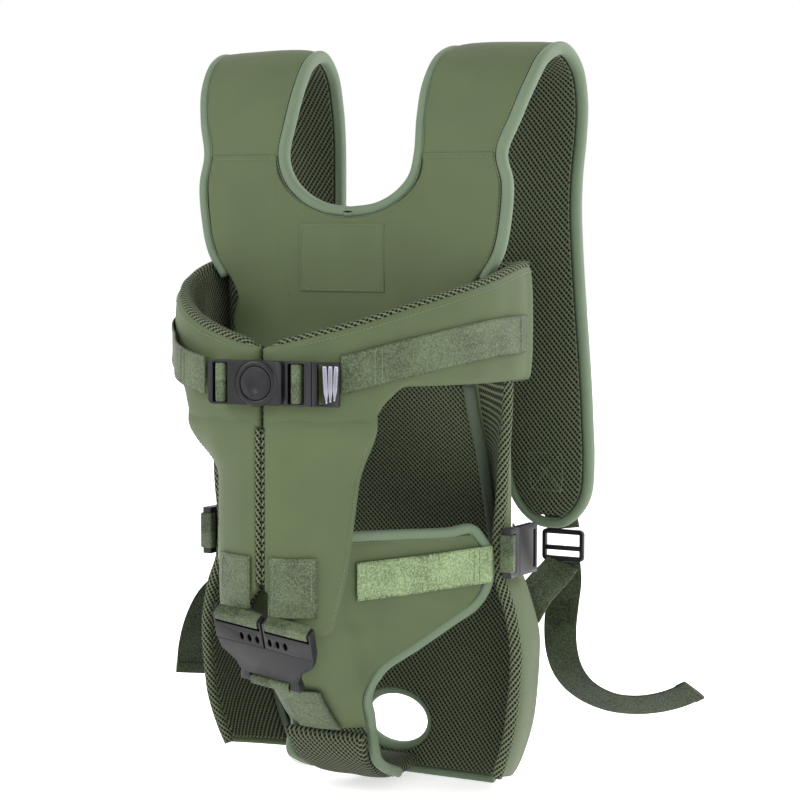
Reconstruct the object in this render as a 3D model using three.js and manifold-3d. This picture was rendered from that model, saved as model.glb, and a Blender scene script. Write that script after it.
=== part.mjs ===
// Front-carried pet carrier vest: padded straps, collar, chest flaps, crotch panel and buckles.
// Millimetres, +Z up, -Y towards the pet's side (the front), +X to the viewer's right.
// The origin lies between the tops of the two shoulder straps, where shoulders carry it.
import * as THREE from 'three';
import { mergeVertices } from 'three/addons/utils/BufferGeometryUtils.js';
import Module from 'manifold-3d';

const wasm = await Module();
wasm.setup();

// ---- driving dimensions -------------------------------------------------------------------
const seamGap = 0.4; // between pieces that are sewn edge to edge
const layGap = 0.3; // between layers that lie on each other
const bendSlack = 0.6; // more room beside a bend
const layerSlack = 1.6; // more room between two bent layers
const slideGap = 0.4; // around plastic pieces that slide in each other

const webbing = 30; // width of the narrow webbing
const webbingWall = 1.8;
const tabWebbing = 38; // width of the wide tabs
const bindingWidth = 8; // edge binding, across
const bindingSides = 6;

const backWall = 8; // padded back panel
const liningWall = 3; // spacer mesh
const seamHeight = -86; // seam between back panel and shoulder straps
const neckDepth = 43; // how far the neck notch reaches below that seam
const neckHalf = 60; // half width of the notch at the seam
const panelBottom = -614;
const liningTop = -272;
const panelHalf = [
  [-86, 142], [-110, 147], [-148, 144], [-175, 135], [-190, 124], [-210, 116],
  [-312, 113], [-400, 108], [-450, 122], [-490, 131], [-540, 128], [-585, 115], [-614, 98],
]; // height, half width
const panelDepth = [
  [-86, -16], [-198, -15], [-240, -10], [-290, 6], [-340, 32], [-400, 56], [-480, 68], [-614, 68],
]; // height, depth of the panel's middle

const tailHoleHeight = -567;
const tailHoleHalf = [34, 25]; // half width, half height
const patch = { x: -6, z: -170, width: 80, height: 56, wall: 1.6 };

const strapWall = 6;
const strapInner = [[0, 60], [0.12, 57], [0.3, 66], [0.5, 70], [0.8, 80], [1, 86]]; // along, x
const strapOuter = [[0, 142], [0.12, 158], [0.3, 166], [0.5, 156], [0.8, 164], [1, 167]];
const strapPath = [
  [-16, -86], [-4, -45], [16, -13], [44, 0], [72, -13], [88, -50], [95, -120], [99, -210],
  [103, -310], [106, -395],
]; // depth, height along the middle of the strap
const strapTipStart = 0.905; // share of the path where the end starts to round off

const collarAxes = [148, 152]; // outer half width and half depth of the neck ring
const collarFlatness = 2; // 2 is an ellipse, more is flatter in front and at the sides
const collarCentre = -3;
const collarWall = 14;
const collarSweep = 96; // degrees from the front before the band turns to the back panel
const collarTop = [[0, -236], [72, -218], [128, -202], [184, -188], [262, -173], [330, -176]];
const collarBottom = [[0, -300], [84, -299], [101, -279], [118, -267], [240, -267], [330, -272]];
const slitHalf = 2.5; // half of the slit between the chest flaps

const columnRadius = 70; // the flaps' outer surface below the collar
const columnCentre = -85;
const flapWall = 8;
const flapBlend = [298, 344]; // depths below the shoulders between which the plan changes to the column
const flapReach = [
  [-470, 60], [-455, 61], [-434, 67], [-409, 73], [-384, 77.5], [-345, 84], [-316, 91], [-300, 93],
]; // height, arc from the slit
const flapBottom = [[0, -424], [22, -447], [38, -462], [50, -462], [60, -456]]; // arc from the slit, height

const wingPlan = [[0, -137.5], [25, -131.5], [40, -113.4], [48.5, -90], [76, -66], [104, -36], [133, -4]];
const crotchWall = 5;
const crotchTop = -384;
const crotchLow = -550;
const crotchLine = [
  [0, -384], [0, -430], [10, -462], [28, -495], [50, -525], [76, -550],
]; // set back from the wing plan, height
const crotchReach = [
  [-384, 172], [-397, 184], [-412, 190], [-430, 188], [-445, 178], [-462, 150], [-480, 118],
  [-500, 84], [-520, 60], [-552, 46],
]; // height, arc from the middle to the bound edge
const rollPath = [[-59, -555], [-47, -574], [-18, -592], [22, -600], [58.6, -600]]; // depth, height
const rollHalf = { front: 36, rear: 24 };
const rollWall = 12;

const sideWall = 5;
const sideTop = -277;
const sideHem = { rear: 9, front: 24 }; // how far the side walls end above the panel's bottom
const lipX = [
  [-277, 141], [-330, 138], [-365, 136], [-400, 133], [-425, 135], [-455, 145], [-490, 150],
  [-540, 146], [-590, 131], [-614, 118],
]; // height, x of the front lip
const lipY = [[-277, -6], [-540, -6], [-614, 2]];

const collarWebbing = { left: 46, right: 71, end: 244 }; // arcs from the front
const webbingRise = [[0, -264], [60, -258], [110, -246], [160, -236], [200, -231], [250, -229]];
const webbingLift = {
  left: [[0, 9], [84, 9], [120, 0.5], [230, 0.5]],
  right: [[0, 1], [90, 1], [110, 0.5], [230, 0.5]],
}; // off the collar near the buckle

const flapTab = { start: 8, top: -402, low: { right: -447, left: -442 } }; // arc from the slit, heights
const wingStrap = { start: 88, low: -439, high: -409, rise: 10 }; // arc from the middle, heights
const crotchTab = { low: -548, high: -512 };

const clip = { x: 143.4, y: 2, z: -405, height: 40, wall: 8, plug: 16, socket: 32, prong: 21 };
const lock = { x: 133, y: 114, z: -414, width: 38, height: 27, wall: 4, bar: 4 };
const buckle = { x: 3, y: -156, z: -264, turn: 4, height: 34, wall: 11, left: -42, right: 22 };
const tongue = { wall: 6.8, bend: 46, end: 67, drop: 14, prong: 29 };
const button = { radius: 13, wall: 3.4, rise: 0.6, dish: 26 };
const threeWay = { y: -141, z: -474, wall: 8, lean: 32, tilt: -11, half: 42.5, head: 33 };

const tailRouteRight = [
  [133, 116.2, -428.4], [133, 118.5, -443], [130, 119.5, -465], [128, 119.5, -485], [128, 122, -504],
  [130, 129, -522], [135, 140, -537], [144, 152, -548], [157, 163, -555], [173, 171, -557],
  [191, 176, -555], [210, 178, -549], [227, 178, -540],
];
const tailRouteLeft = [
  [-133, 116.2, -428.4], [-133, 118.5, -438], [-138, 122, -449.5], [-149, 124, -458], [-164, 119, -462],
  [-178, 107, -465], [-190, 92, -470], [-199, 77, -481], [-204, 65, -499], [-206, 57, -521], [-206, 53, -546],
];

// ---- materials ----------------------------------------------------------------------------
const makeFinish = (color, roughness) =>
  new THREE.MeshStandardMaterial({ color, roughness, metalness: 0, side: THREE.FrontSide });
const finishes = {
  cover: () => makeFinish(0x6b7a55, 0.75),
  binding: () => makeFinish(0x82a07e, 0.85),
  mesh: () => makeFinish(0x33382a, 0.95),
  webbing: () => makeFinish(0x6d8a5a, 0.55),
  plastic: () => makeFinish(0x26262b, 0.4),
};

// ---- helpers ------------------------------------------------------------------------------
const part = new THREE.Group();
const { lerp, smoothstep, degToRad } = THREE.MathUtils;

function addPiece(name, geometry, finish, parent = part) {
  const mesh = new THREE.Mesh(geometry, finishes[finish]());
  mesh.name = name;
  parent.add(mesh);
  return mesh;
}

// The value at x on a smooth line through [x, value] stops, which never passes beyond them.
function along(stops, x) {
  const list = stops[0][0] < stops[1][0] ? stops : [...stops].reverse();
  const last = list.length - 1;
  if (x <= list[0][0]) return list[0][1];
  if (x >= list[last][0]) return list[last][1];
  const i = list.findIndex(([stop]) => stop > x) - 1;
  const slope = (k) => (list[k + 1][1] - list[k][1]) / (list[k + 1][0] - list[k][0]);
  const tangent = (k) => {
    if (k === 0 || k === last) return slope(Math.min(k, last - 1));
    const [before, after] = [slope(k - 1), slope(k)];
    return before * after <= 0 ? 0 : (2 * before * after) / (before + after);
  };
  const width = list[i + 1][0] - list[i][0];
  const t = (x - list[i][0]) / width;
  const bulge = t * (1 - t) ** 2 * width * tangent(i) - t * t * (1 - t) * width * tangent(i + 1);
  return lerp(list[i][1], list[i + 1][1], t * t * (3 - 2 * t)) + bulge;
}

function smoothLine(points) {
  return new THREE.CatmullRomCurve3(points, false, 'centripetal');
}

// A flat box of cells bent onto surface(u, v) and thickened evenly to both sides of it.
function bentPanel(surface, columns, rows, wall) {
  const geometry = new THREE.BoxGeometry(1, 1, 1, columns, rows, 1);
  const position = geometry.attributes.position;
  const step = 1e-3;
  for (let i = 0; i < position.count; i += 1) {
    const u = position.getX(i) + 0.5;
    const v = position.getY(i) + 0.5;
    const thickness = typeof wall === 'function' ? wall(u, v) : wall;
    const nextU = surface(Math.min(u + step, 1), v).sub(surface(Math.max(u - step, 0), v));
    const nextV = surface(u, Math.min(v + step, 1)).sub(surface(u, Math.max(v - step, 0)));
    const normal = nextU.cross(nextV).normalize();
    const point = surface(u, v).addScaledVector(normal, position.getZ(i) * thickness);
    position.setXYZ(i, point.x, point.y, point.z);
  }
  return bare(geometry);
}

function bare(geometry) {
  const copy = geometry.clone();
  copy.deleteAttribute('normal');
  copy.deleteAttribute('uv');
  return mergeVertices(copy, 1e-4);
}

function mirrored(geometry) {
  const copy = geometry.clone().scale(-1, 1, 1);
  const index = copy.index.array;
  for (let i = 0; i < index.length; i += 3) [index[i], index[i + 1]] = [index[i + 1], index[i]];
  return copy;
}

// The same geometry on the right, as it is, and on the left, mirrored.
function addPair(name, geometry, finish) {
  addPiece(`${name}_right`, geometry, finish);
  addPiece(`${name}_left`, mirrored(geometry), finish);
}

function toSolid(geometry) {
  const clean = bare(geometry.index ? geometry.toNonIndexed() : geometry);
  const vertProperties = new Float32Array(clean.attributes.position.array);
  const triVerts = new Uint32Array(clean.index.array);
  return new wasm.Manifold(new wasm.Mesh({ numProp: 3, vertProperties, triVerts }));
}

function fromSolid(solid) {
  const mesh = solid.getMesh();
  const geometry = new THREE.BufferGeometry();
  geometry.setAttribute('position', new THREE.BufferAttribute(new Float32Array(mesh.vertProperties), 3));
  geometry.setIndex(new THREE.BufferAttribute(new Uint32Array(mesh.triVerts), 1));
  return geometry;
}

function cut(body, ...tools) {
  return fromSolid(tools.reduce((rest, tool) => rest.subtract(toSolid(tool)), toSolid(body)));
}

function join(body, ...others) {
  return fromSolid(others.reduce((rest, other) => rest.add(toSolid(other)), toSolid(body)));
}

function block(x0, x1, y0, y1, z0, z1) {
  const geometry = new THREE.BoxGeometry(x1 - x0, y1 - y0, z1 - z0);
  return geometry.translate((x0 + x1) / 2, (y0 + y1) / 2, (z0 + z1) / 2);
}

function roundedOutline(width, height, radius) {
  const shape = new THREE.Shape();
  const x = width / 2 - radius;
  const y = height / 2 - radius;
  const corners = [[x, y, 0], [-x, y, 1], [-x, -y, 2], [x, -y, 3]];
  for (const [cx, cy, quarter] of corners) {
    const start = (quarter * Math.PI) / 2;
    shape.absarc(cx, cy, radius, start, start + Math.PI / 2, false);
  }
  return shape;
}

function plate(shape, wall, cells = 3) {
  return new THREE.ExtrudeGeometry(shape, { depth: wall, bevelEnabled: false, curveSegments: cells });
}

function roundRod(radius, length, sides = 20) {
  return new THREE.CylinderGeometry(radius, radius, length, sides);
}

// A tube along a curve, for bindings; its section is a regular outline of a few sides.
function tube(curve, width, steps, sides = bindingSides) {
  const shape = new THREE.Shape();
  const corners = Array.from({ length: sides }, (_, i) => (2 * Math.PI * (i + 0.5)) / sides);
  const radius = width / 2;
  shape.setFromPoints(corners.map((a) => new THREE.Vector2(radius * Math.cos(a), radius * Math.sin(a))));
  return bare(new THREE.ExtrudeGeometry(shape, { extrudePath: curve, steps, bevelEnabled: false }));
}

// Moves a surface along its own normal.
function offsetSurface(surface, distance) {
  const step = 1e-3;
  return (u, v) => {
    const nextU = surface(Math.min(u + step, 1), v).sub(surface(Math.max(u - step, 0), v));
    const nextV = surface(u, Math.min(v + step, 1)).sub(surface(u, Math.max(v - step, 0)));
    return surface(u, v).addScaledVector(nextU.cross(nextV).normalize(), distance);
  };
}

// ---- back panel and its lining ------------------------------------------------------------
const halfAt = (z) => along(panelHalf, z);
const depthAt = (z) => along(panelDepth, z);
const edgeInset = bindingWidth + layGap + bendSlack;

// u runs from the left edge to the right edge with four equal lobes, v from the bottom up.
function backSurface(u, v) {
  const notch = (neckHalf + edgeInset) / (halfAt(seamHeight) - edgeInset);
  const side = u < 0.5 ? -1 : 1;
  const fromMiddle = Math.abs(2 * u - 1) * 2;
  const q = fromMiddle > 1 ? lerp(notch, 1, fromMiddle - 1) : notch * Math.sin((fromMiddle * Math.PI) / 2);
  const drop = (neckDepth + edgeInset) * Math.sqrt(Math.max(0, 1 - (q / notch) ** 2));
  const top = seamHeight - seamGap / 2 - (fromMiddle < 1 ? drop : 0);
  const z = lerp(panelBottom + edgeInset, top, 1 - (1 - v) ** 1.6);
  const inset = lerp(edgeInset, seamGap, smoothstep(-z, 200, 222));
  return new THREE.Vector3(side * q * (halfAt(z) - inset), depthAt(z), z);
}

function tailHole(wall, grow) {
  const hole = roundRod(1, wall, 28);
  hole.scale(tailHoleHalf[0] + grow, 1, tailHoleHalf[1] + grow);
  return hole.translate(0, depthAt(tailHoleHeight), tailHoleHeight);
}

function liningSurface(u, v) {
  const z = lerp(panelBottom + edgeInset, liningTop, v);
  const half = halfAt(z) - sideWall - liningWall - 2;
  return new THREE.Vector3(lerp(-half, half, u), depthAt(z), z);
}

function addBack() {
  const holeTool = tailHole(60, bindingWidth / 2 + layGap);
  addPiece('back_panel', cut(bentPanel(backSurface, 16, 16, backWall), holeTool), 'cover');
  const lining = offsetSurface(liningSurface, (backWall + liningWall) / 2 + layGap + layerSlack);
  addPiece('back_lining', cut(bentPanel(lining, 8, 12, liningWall), holeTool), 'mesh');
  const ring = new THREE.TorusGeometry(1, 0.1, 8, 28);
  addPiece('tail_hole_binding', ringAround(ring), 'binding');
  const front = depthAt(patch.z) - backWall / 2 - layGap;
  const face = plate(roundedOutline(patch.width, patch.height, 4), patch.wall);
  face.rotateX(Math.PI / 2).translate(patch.x, front, patch.z);
  addPiece('chest_patch', bare(face), 'cover');
  const hemZ = panelBottom + edgeInset - bindingWidth / 2 - layGap;
  const hemHalf = halfAt(panelBottom) - 6;
  const hemY = depthAt(panelBottom) - 1.5;
  const hem = smoothLine([-1, 0, 1].map((s) => new THREE.Vector3(s * hemHalf, hemY, hemZ)));
  addPiece('hem_binding', tube(hem, bindingWidth, 6, 8), 'binding');
}

// Turns a unit torus into the oval binding of the tail hole.
function ringAround(ring) {
  const position = ring.attributes.position;
  for (let i = 0; i < position.count; i += 1) {
    const x = position.getX(i);
    const y = position.getY(i);
    const radius = Math.hypot(x, y);
    const out = (radius - 1) * 10 * (bindingWidth / 2);
    const deep = position.getZ(i) * 10 * (bindingWidth / 2 + 1.5);
    const px = (x / radius) * (tailHoleHalf[0] + out);
    const pz = (y / radius) * (tailHoleHalf[1] + out) + tailHoleHeight;
    position.setXYZ(i, px, depthAt(tailHoleHeight) - 1.6 - deep, pz);
  }
  return bare(ring);
}

// ---- shoulder straps ----------------------------------------------------------------------
const strapLine = smoothLine(strapPath.map(([y, z]) => new THREE.Vector3(0, y, z)));

// u runs across from the inner to the outer edge, v along from the seam to the rounded end.
function strapSurface(inset) {
  return (u, v) => {
    const point = strapLine.getPointAt(v);
    const round = Math.max(0, (v - strapTipStart) / (1 - strapTipStart));
    const shrink = Math.sqrt(1 - round ** 2.6 * 0.93);
    const inner = along(strapInner, v);
    const outer = along(strapOuter, v);
    const middle = (inner + outer) / 2;
    const half = ((outer - inner) / 2) * shrink - inset * (1 + 0.5 * round);
    return new THREE.Vector3(middle + half * (2 * u - 1), point.y, point.z);
  };
}

// The edge that the binding follows: around the panel's side, over the shoulder and back.
function bindingLine() {
  const points = [];
  const inset = bindingWidth / 2;
  for (const z of [-186, -165, -140, -110]) {
    points.push(new THREE.Vector3(halfAt(z) - inset, depthAt(z), z));
  }
  const surface = strapSurface(inset);
  const shares = Array.from({ length: 18 }, (_, i) => i / 18).concat([0.965, 0.98, 0.99, 0.997]);
  for (const share of shares) points.push(surface(1, share));
  for (const share of shares.reverse()) points.push(surface(0, share));
  const neck = [0.92, 0.72, 0.4];
  for (const share of neck) {
    const x = (neckHalf + inset) * share;
    const drop = (neckDepth + inset) * Math.sqrt(1 - share ** 2);
    points.push(new THREE.Vector3(x, depthAt(-100), seamHeight - drop));
  }
  points.push(new THREE.Vector3(3 * seamGap, depthAt(-100), seamHeight - neckDepth - inset));
  return smoothLine(points);
}

function addStraps() {
  const cover = strapSurface(edgeInset + layGap);
  const shortened = (u, v) => cover(u, lerp(0.003, 0.944, v));
  addPair('shoulder_strap', bentPanel(shortened, 2, 24, strapWall), 'cover');
  const under = -(strapWall + liningWall) / 2 - layGap - layerSlack;
  const inside = offsetSurface(strapSurface(edgeInset + 1), under);
  const lining = (u, v) => inside(u, lerp(0.012, 0.975, v));
  addPair('strap_lining', bentPanel(lining, 2, 24, liningWall), 'mesh');
  addPair('strap_binding', tube(bindingLine(), bindingWidth, 110), 'binding');
}

// ---- collar and chest flaps ---------------------------------------------------------------
const sweepArc = degToRad(collarSweep) * (collarAxes[0] + collarAxes[1]) * 0.5;
const turnArc = 78; // length of the band past the ellipse, where it curls in behind the panel
const turnPull = { out: 2, back: 46, rest: 131, end: 113 }; // where the curl's control points lie

// The ring's plan at an angle from the front, set in from its outer surface.
function ringPoint(a, set) {
  const [half, deep] = collarAxes.map((axis) => axis - set);
  const power = (Math.abs(Math.sin(a)) / half) ** collarFlatness + (Math.cos(a) / deep) ** collarFlatness;
  const radius = power ** (-1 / collarFlatness);
  return [radius * Math.sin(a), collarCentre - radius * Math.cos(a)];
}

// The collar's plan at arc s from the front; past the sweep it turns in behind the back panel.
function collarPlan(s, z, set) {
  const [x, y] = ringPoint(Math.min(s / sweepArc, 1) * degToRad(collarSweep), set);
  if (s <= sweepArc) return new THREE.Vector3(x, y, z);
  const t = Math.min((s - sweepArc) / turnArc, 1);
  const endY = depthAt(z) + backWall / 2 + layGap + 3;
  const [before, pull, rest, end] = [(1 - t) ** 3, 3 * t * (1 - t) ** 2, 3 * t * t * (1 - t), t ** 3];
  const bend = collarAxes[0] - set + turnPull.out;
  const px = before * x + pull * bend + rest * turnPull.rest + end * turnPull.end;
  return new THREE.Vector3(px, before * y + pull * turnPull.back + (rest + end) * endY, z);
}

function collarSurface(set, from, to) {
  return (u, v) => {
    const s = lerp(from, to, u);
    const z = lerp(along(collarBottom, s), along(collarTop, s), v);
    return collarPlan(s, z, set);
  };
}

function collarThickness(u, v) {
  const edge = lerp(0.45, 1, Math.sin(Math.PI * v) ** 0.6);
  const end = lerp(1, 0.4, smoothstep(u, 0.7, 0.86));
  return collarWall * edge * end;
}

// The flaps' plan blends from the collar's ellipse at the top into a round column below.
function flapPlan(s, z, set) {
  const low = s / columnRadius;
  const x = (columnRadius - set) * Math.sin(low);
  const y = columnCentre - (columnRadius - set) * Math.cos(low);
  return collarPlan(s, z, set).lerp(new THREE.Vector3(x, y, z), smoothstep(-z, ...flapBlend));
}

function flapSurface(set) {
  return (u, v) => {
    const guess = lerp(slitHalf, flapReach[0][1], u);
    const top = along(collarBottom, guess) - seamGap;
    const z = lerp(along(flapBottom, guess), top, v);
    return flapPlan(lerp(slitHalf, along(flapReach, z), u), z, set);
  };
}

function addCollarAndFlaps() {
  const band = collarSurface(collarWall / 2, slitHalf / 2, sweepArc + turnArc);
  addPair('collar', bentPanel(band, 24, 4, collarThickness), 'cover');
  addPair('chest_flap', bentPanel(flapSurface(flapWall / 2 + 1), 7, 8, flapWall), 'cover');
  const under = -(flapWall + liningWall) / 2 - layGap - layerSlack;
  const inside = offsetSurface(flapSurface(flapWall / 2 + 1), under);
  const lining = (u, v) => inside(lerp(0.02, 0.98, u), lerp(0.03, 0.9, v));
  addPair('flap_lining', bentPanel(lining, 7, 8, liningWall), 'mesh');
}

// ---- side walls ---------------------------------------------------------------------------
const sideBottom = (u) => panelBottom + lerp(sideHem.rear, sideHem.front, u);

// u runs from the back panel's edge to the front lip, v from the bottom up.
function sideSurface(u, v) {
  const z = lerp(sideBottom(u), sideTop, v);
  const rearX = halfAt(z) + 2 * bendSlack + sideWall / 2;
  const rearY = depthAt(z) + backWall / 2 - 1;
  const x = lerp(rearX, along(lipX, z), u) + 4 * Math.sin(Math.PI * u);
  return new THREE.Vector3(x, lerp(rearY, along(lipY, z), u), z);
}

function addSides() {
  addPair('side_wall', bentPanel((u, v) => sideSurface(1 - u, v), 5, 10, sideWall), 'cover');
  const under = -(sideWall + liningWall) / 2 - layGap - layerSlack;
  const inside = offsetSurface((u, v) => sideSurface(1 - u, v), under);
  const lining = (u, v) => inside(lerp(0.02, 0.7, u), lerp(0.02, 0.98, v));
  addPair('side_lining', bentPanel(lining, 4, 10, liningWall), 'mesh');
}

// ---- crotch panel with its wings ----------------------------------------------------------
const wingLine = smoothLine(wingPlan.map(([x, y]) => new THREE.Vector3(x, y, 0)));
const wingLength = wingLine.getLength();

function crotchPoint(s, z) {
  const point = wingLine.getPointAt(Math.min(Math.abs(s) / wingLength, 1));
  const back = along(crotchLine.map(([y, h]) => [h, y]), z);
  return new THREE.Vector3(Math.sign(s) * point.x, point.y + back, z);
}

// u runs across from wing to wing, v from the lower seam up to the wings' top edge.
function crotchSurface(u, v) {
  const z = lerp(crotchLow, crotchTop - edgeInset, v);
  return crotchPoint((2 * u - 1) * (along(crotchReach, z) - 1.05 * edgeInset), z);
}

function rollSurface(u, v) {
  const path = smoothLine(rollPath.map(([y, z]) => new THREE.Vector3(0, y, z)));
  const point = path.getPointAt(1 - v);
  return new THREE.Vector3((2 * u - 1) * lerp(rollHalf.rear, rollHalf.front, v), point.y, point.z);
}

function crotchBinding() {
  const points = [];
  const inset = bindingWidth / 2;
  for (const s of [2, 60, 110, 150]) points.push(crotchPoint(s, crotchTop - inset));
  for (const z of [-386, -394, -405, -418, -432, -447, -462, -480, -500, -520, -540, -552]) {
    points.push(crotchPoint(along(crotchReach, z) - inset, z));
  }
  for (const share of [0.8, 0.65, 0.5]) points.push(rollSurface(1, share).setX(rollHalf.front + inset + 1));
  return smoothLine(points);
}

function addCrotch() {
  addPiece('crotch_panel', bentPanel(crotchSurface, 20, 12, crotchWall), 'cover');
  addPiece('crotch_roll', bentPanel(rollSurface, 4, 8, rollWall), 'mesh');
  addPair('crotch_binding', tube(crotchBinding(), bindingWidth - 3, 40), 'binding');
}

// ---- webbing ------------------------------------------------------------------------------
// A ribbon along a line of points, each with the direction across its width.
function ribbon(points, across, width, steps) {
  const middle = smoothLine(points.map((p) => new THREE.Vector3(...p)));
  const sides = smoothLine(across.map((p) => new THREE.Vector3(...p).normalize()));
  const surface = (u, v) =>
    middle.getPoint(v).addScaledVector(sides.getPoint(v).normalize(), (u - 0.5) * width);
  return bentPanel(surface, 1, steps, webbingWall);
}

function addWebbing() {
  const band = (side) => (u, v) => {
    const s = lerp(collarWebbing[side], collarWebbing.end, u);
    const out = webbingWall / 2 + layGap + along(webbingLift[side], s);
    return collarPlan(s, along(webbingRise, s) + (v - 0.5) * webbing, -out);
  };
  addPiece('collar_webbing_right', bentPanel(band('right'), 12, 1, webbingWall), 'webbing');
  addPiece('collar_webbing_left', mirrored(bentPanel(band('left'), 14, 1, webbingWall)), 'webbing');
  const tab = (low) => (u, v) =>
    flapPlan(flapTab.start + tabWebbing * u, lerp(low, flapTab.top, v), bendSlack - webbingWall / 2);
  addPiece('flap_tab_right', bentPanel(tab(flapTab.low.right), 4, 3, webbingWall), 'webbing');
  addPiece('flap_tab_left', mirrored(bentPanel(tab(flapTab.low.left), 4, 3, webbingWall)), 'webbing');
  const wingHeight = (u, v) => lerp(wingStrap.low, wingStrap.high, v) + wingStrap.rise * u;
  const onWing = offsetSurface(
    (u, v) => crotchPoint(lerp(wingStrap.start, wingLength - 9, u), wingHeight(u, v)),
    (crotchWall + webbingWall) / 2 + layGap + 2 * bendSlack,
  );
  addPair('wing_webbing', bentPanel(onWing, 8, 1, webbingWall), 'webbing');
  const onCrotch = offsetSurface(
    (u, v) => crotchPoint(tabWebbing * (u - 0.5), lerp(crotchTab.low, crotchTab.high, v)),
    (crotchWall + webbingWall) / 2 + layGap + bendSlack,
  );
  addPiece('crotch_tab', bentPanel(onCrotch, 4, 3, webbingWall), 'webbing');
  const across = [[1, 0, 0], [1, 0, 0]];
  const strapBack = strapPath[strapPath.length - 1][0] + strapWall / 2 + layGap + webbingWall / 2;
  const fixed = [[128, strapBack - 1.3, -350], [131, strapBack + 2, -385], [lock.x, lock.y, -399.8]];
  addPair('strap_webbing', ribbon(fixed, across, webbing, 6), 'webbing');
  const anchor = [[lock.x, lock.y, -428.6], [130, 106, -436], [122, 86, -452], [115, 76, -470]];
  addPair('lock_anchor', ribbon(anchor, across, webbing, 6), 'webbing');
}

// A webbing loop around a bar: a flat ring whose hole is the bar with a little room.
function webbingLoop(barWidth, barWall, length) {
  const room = 2 * layGap;
  const shape = roundedOutline(barWidth + room + 2 * webbingWall, barWall + room + 2 * webbingWall, 1.6);
  shape.holes.push(new THREE.Path(roundedOutline(barWidth + room, barWall + room, 0.6).getPoints(2)));
  return plate(shape, length, 2).translate(0, 0, -length / 2);
}

function addTails() {
  const routes = { right: tailRouteRight, left: tailRouteLeft };
  for (const [side, route] of Object.entries(routes)) {
    const line = smoothLine(route.map((p) => new THREE.Vector3(...p)));
    const shape = roundedOutline(webbing, webbingWall, webbingWall / 2 - 0.1);
    const options = { extrudePath: line, steps: 26, bevelEnabled: false, curveSegments: 1 };
    addPiece(`strap_tail_${side}`, bare(new THREE.ExtrudeGeometry(shape, options)), 'webbing');
  }
}

// ---- collar buckle: x along the webbing, y up, z outwards ---------------------------------
function addCollarBuckle() {
  const frame = new THREE.Group();
  frame.position.set(buckle.x, buckle.y, buckle.z);
  frame.rotation.set(Math.PI / 2, 0, degToRad(buckle.turn), 'ZYX');
  part.add(frame);
  const [half, slot] = [buckle.height / 2, webbing / 2 + 0.5];
  const pocketHalf = 12;
  const floor = 2.6;
  const ceiling = buckle.wall - button.wall + button.rise;
  const shell = plate(roundedOutline(buckle.right - buckle.left, buckle.height, 4), buckle.wall);
  shell.translate((buckle.left + buckle.right) / 2, 0, 0);
  const bore = roundRod(button.radius + slideGap, 20, 28).rotateX(Math.PI / 2).translate(0, 0, floor + 12);
  const slots = [[-38, -33.4], [-29.4, -24.8]].map(([x0, x1]) => block(x0, x1, -slot, slot, -1, 20));
  const pocket = block(buckle.right - tongue.prong - 1, 30, -pocketHalf, pocketHalf, floor, ceiling);
  addPiece('buckle_housing', cut(shell, bore, pocket, ...slots), 'plastic', frame);
  const lift = ceiling + 0.2;
  const dish = new THREE.SphereGeometry(button.dish, 24, 12);
  dish.translate(0, 0, lift + button.wall + button.dish - 1.4);
  const disc = roundRod(button.radius, button.wall, 28).rotateX(Math.PI / 2);
  disc.translate(0, 0, lift + button.wall / 2);
  addPiece('buckle_button', cut(disc, dish), 'plastic', frame);
  addTongue(frame, half, slot, floor, pocketHalf);
  const loopAt = { left: (-33.4 - 29.4) / 2, right: 33 };
  for (const [side, x] of Object.entries(loopAt)) {
    const wall = side === 'left' ? buckle.wall : tongue.wall;
    const loop = webbingLoop(4, wall, webbing).rotateX(Math.PI / 2);
    const middle = side === 'left' ? wall / 2 : 1 + wall / 2;
    addPiece(`buckle_loop_${side}`, bare(loop.translate(x, 0, middle)), 'webbing', frame);
  }
}

function addTongue(frame, half, slot, floor, pocketHalf) {
  const start = buckle.right + slideGap;
  const flat = block(start, tongue.bend, -half, half, 1, 1 + tongue.wall);
  const end = block(0, tongue.end - tongue.bend, -half, half, 0, tongue.wall);
  const endSlot = block(4, 9, -slot, slot, -9, 20);
  const drop = degToRad(tongue.drop);
  const bent = cut(end, endSlot).rotateY(drop).translate(tongue.bend - 1, 0, 1);
  const prongWall = 2.4;
  const prongs = [-1, 1].map((side) => {
    const [inner, outer] = [3.5, pocketHalf - slideGap];
    const [y0, y1] = side > 0 ? [inner, outer] : [-outer, -inner];
    const tip = buckle.right - tongue.prong;
    return block(tip, start + 2, y0, y1, floor + slideGap, floor + slideGap + prongWall);
  });
  const holes = [[26, 31], [35, 40]].map(([x0, x1]) => block(x0, x1, -slot, slot, -9, 20));
  addPiece('buckle_tongue', cut(join(flat, bent, ...prongs), ...holes), 'plastic', frame);
}

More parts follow.
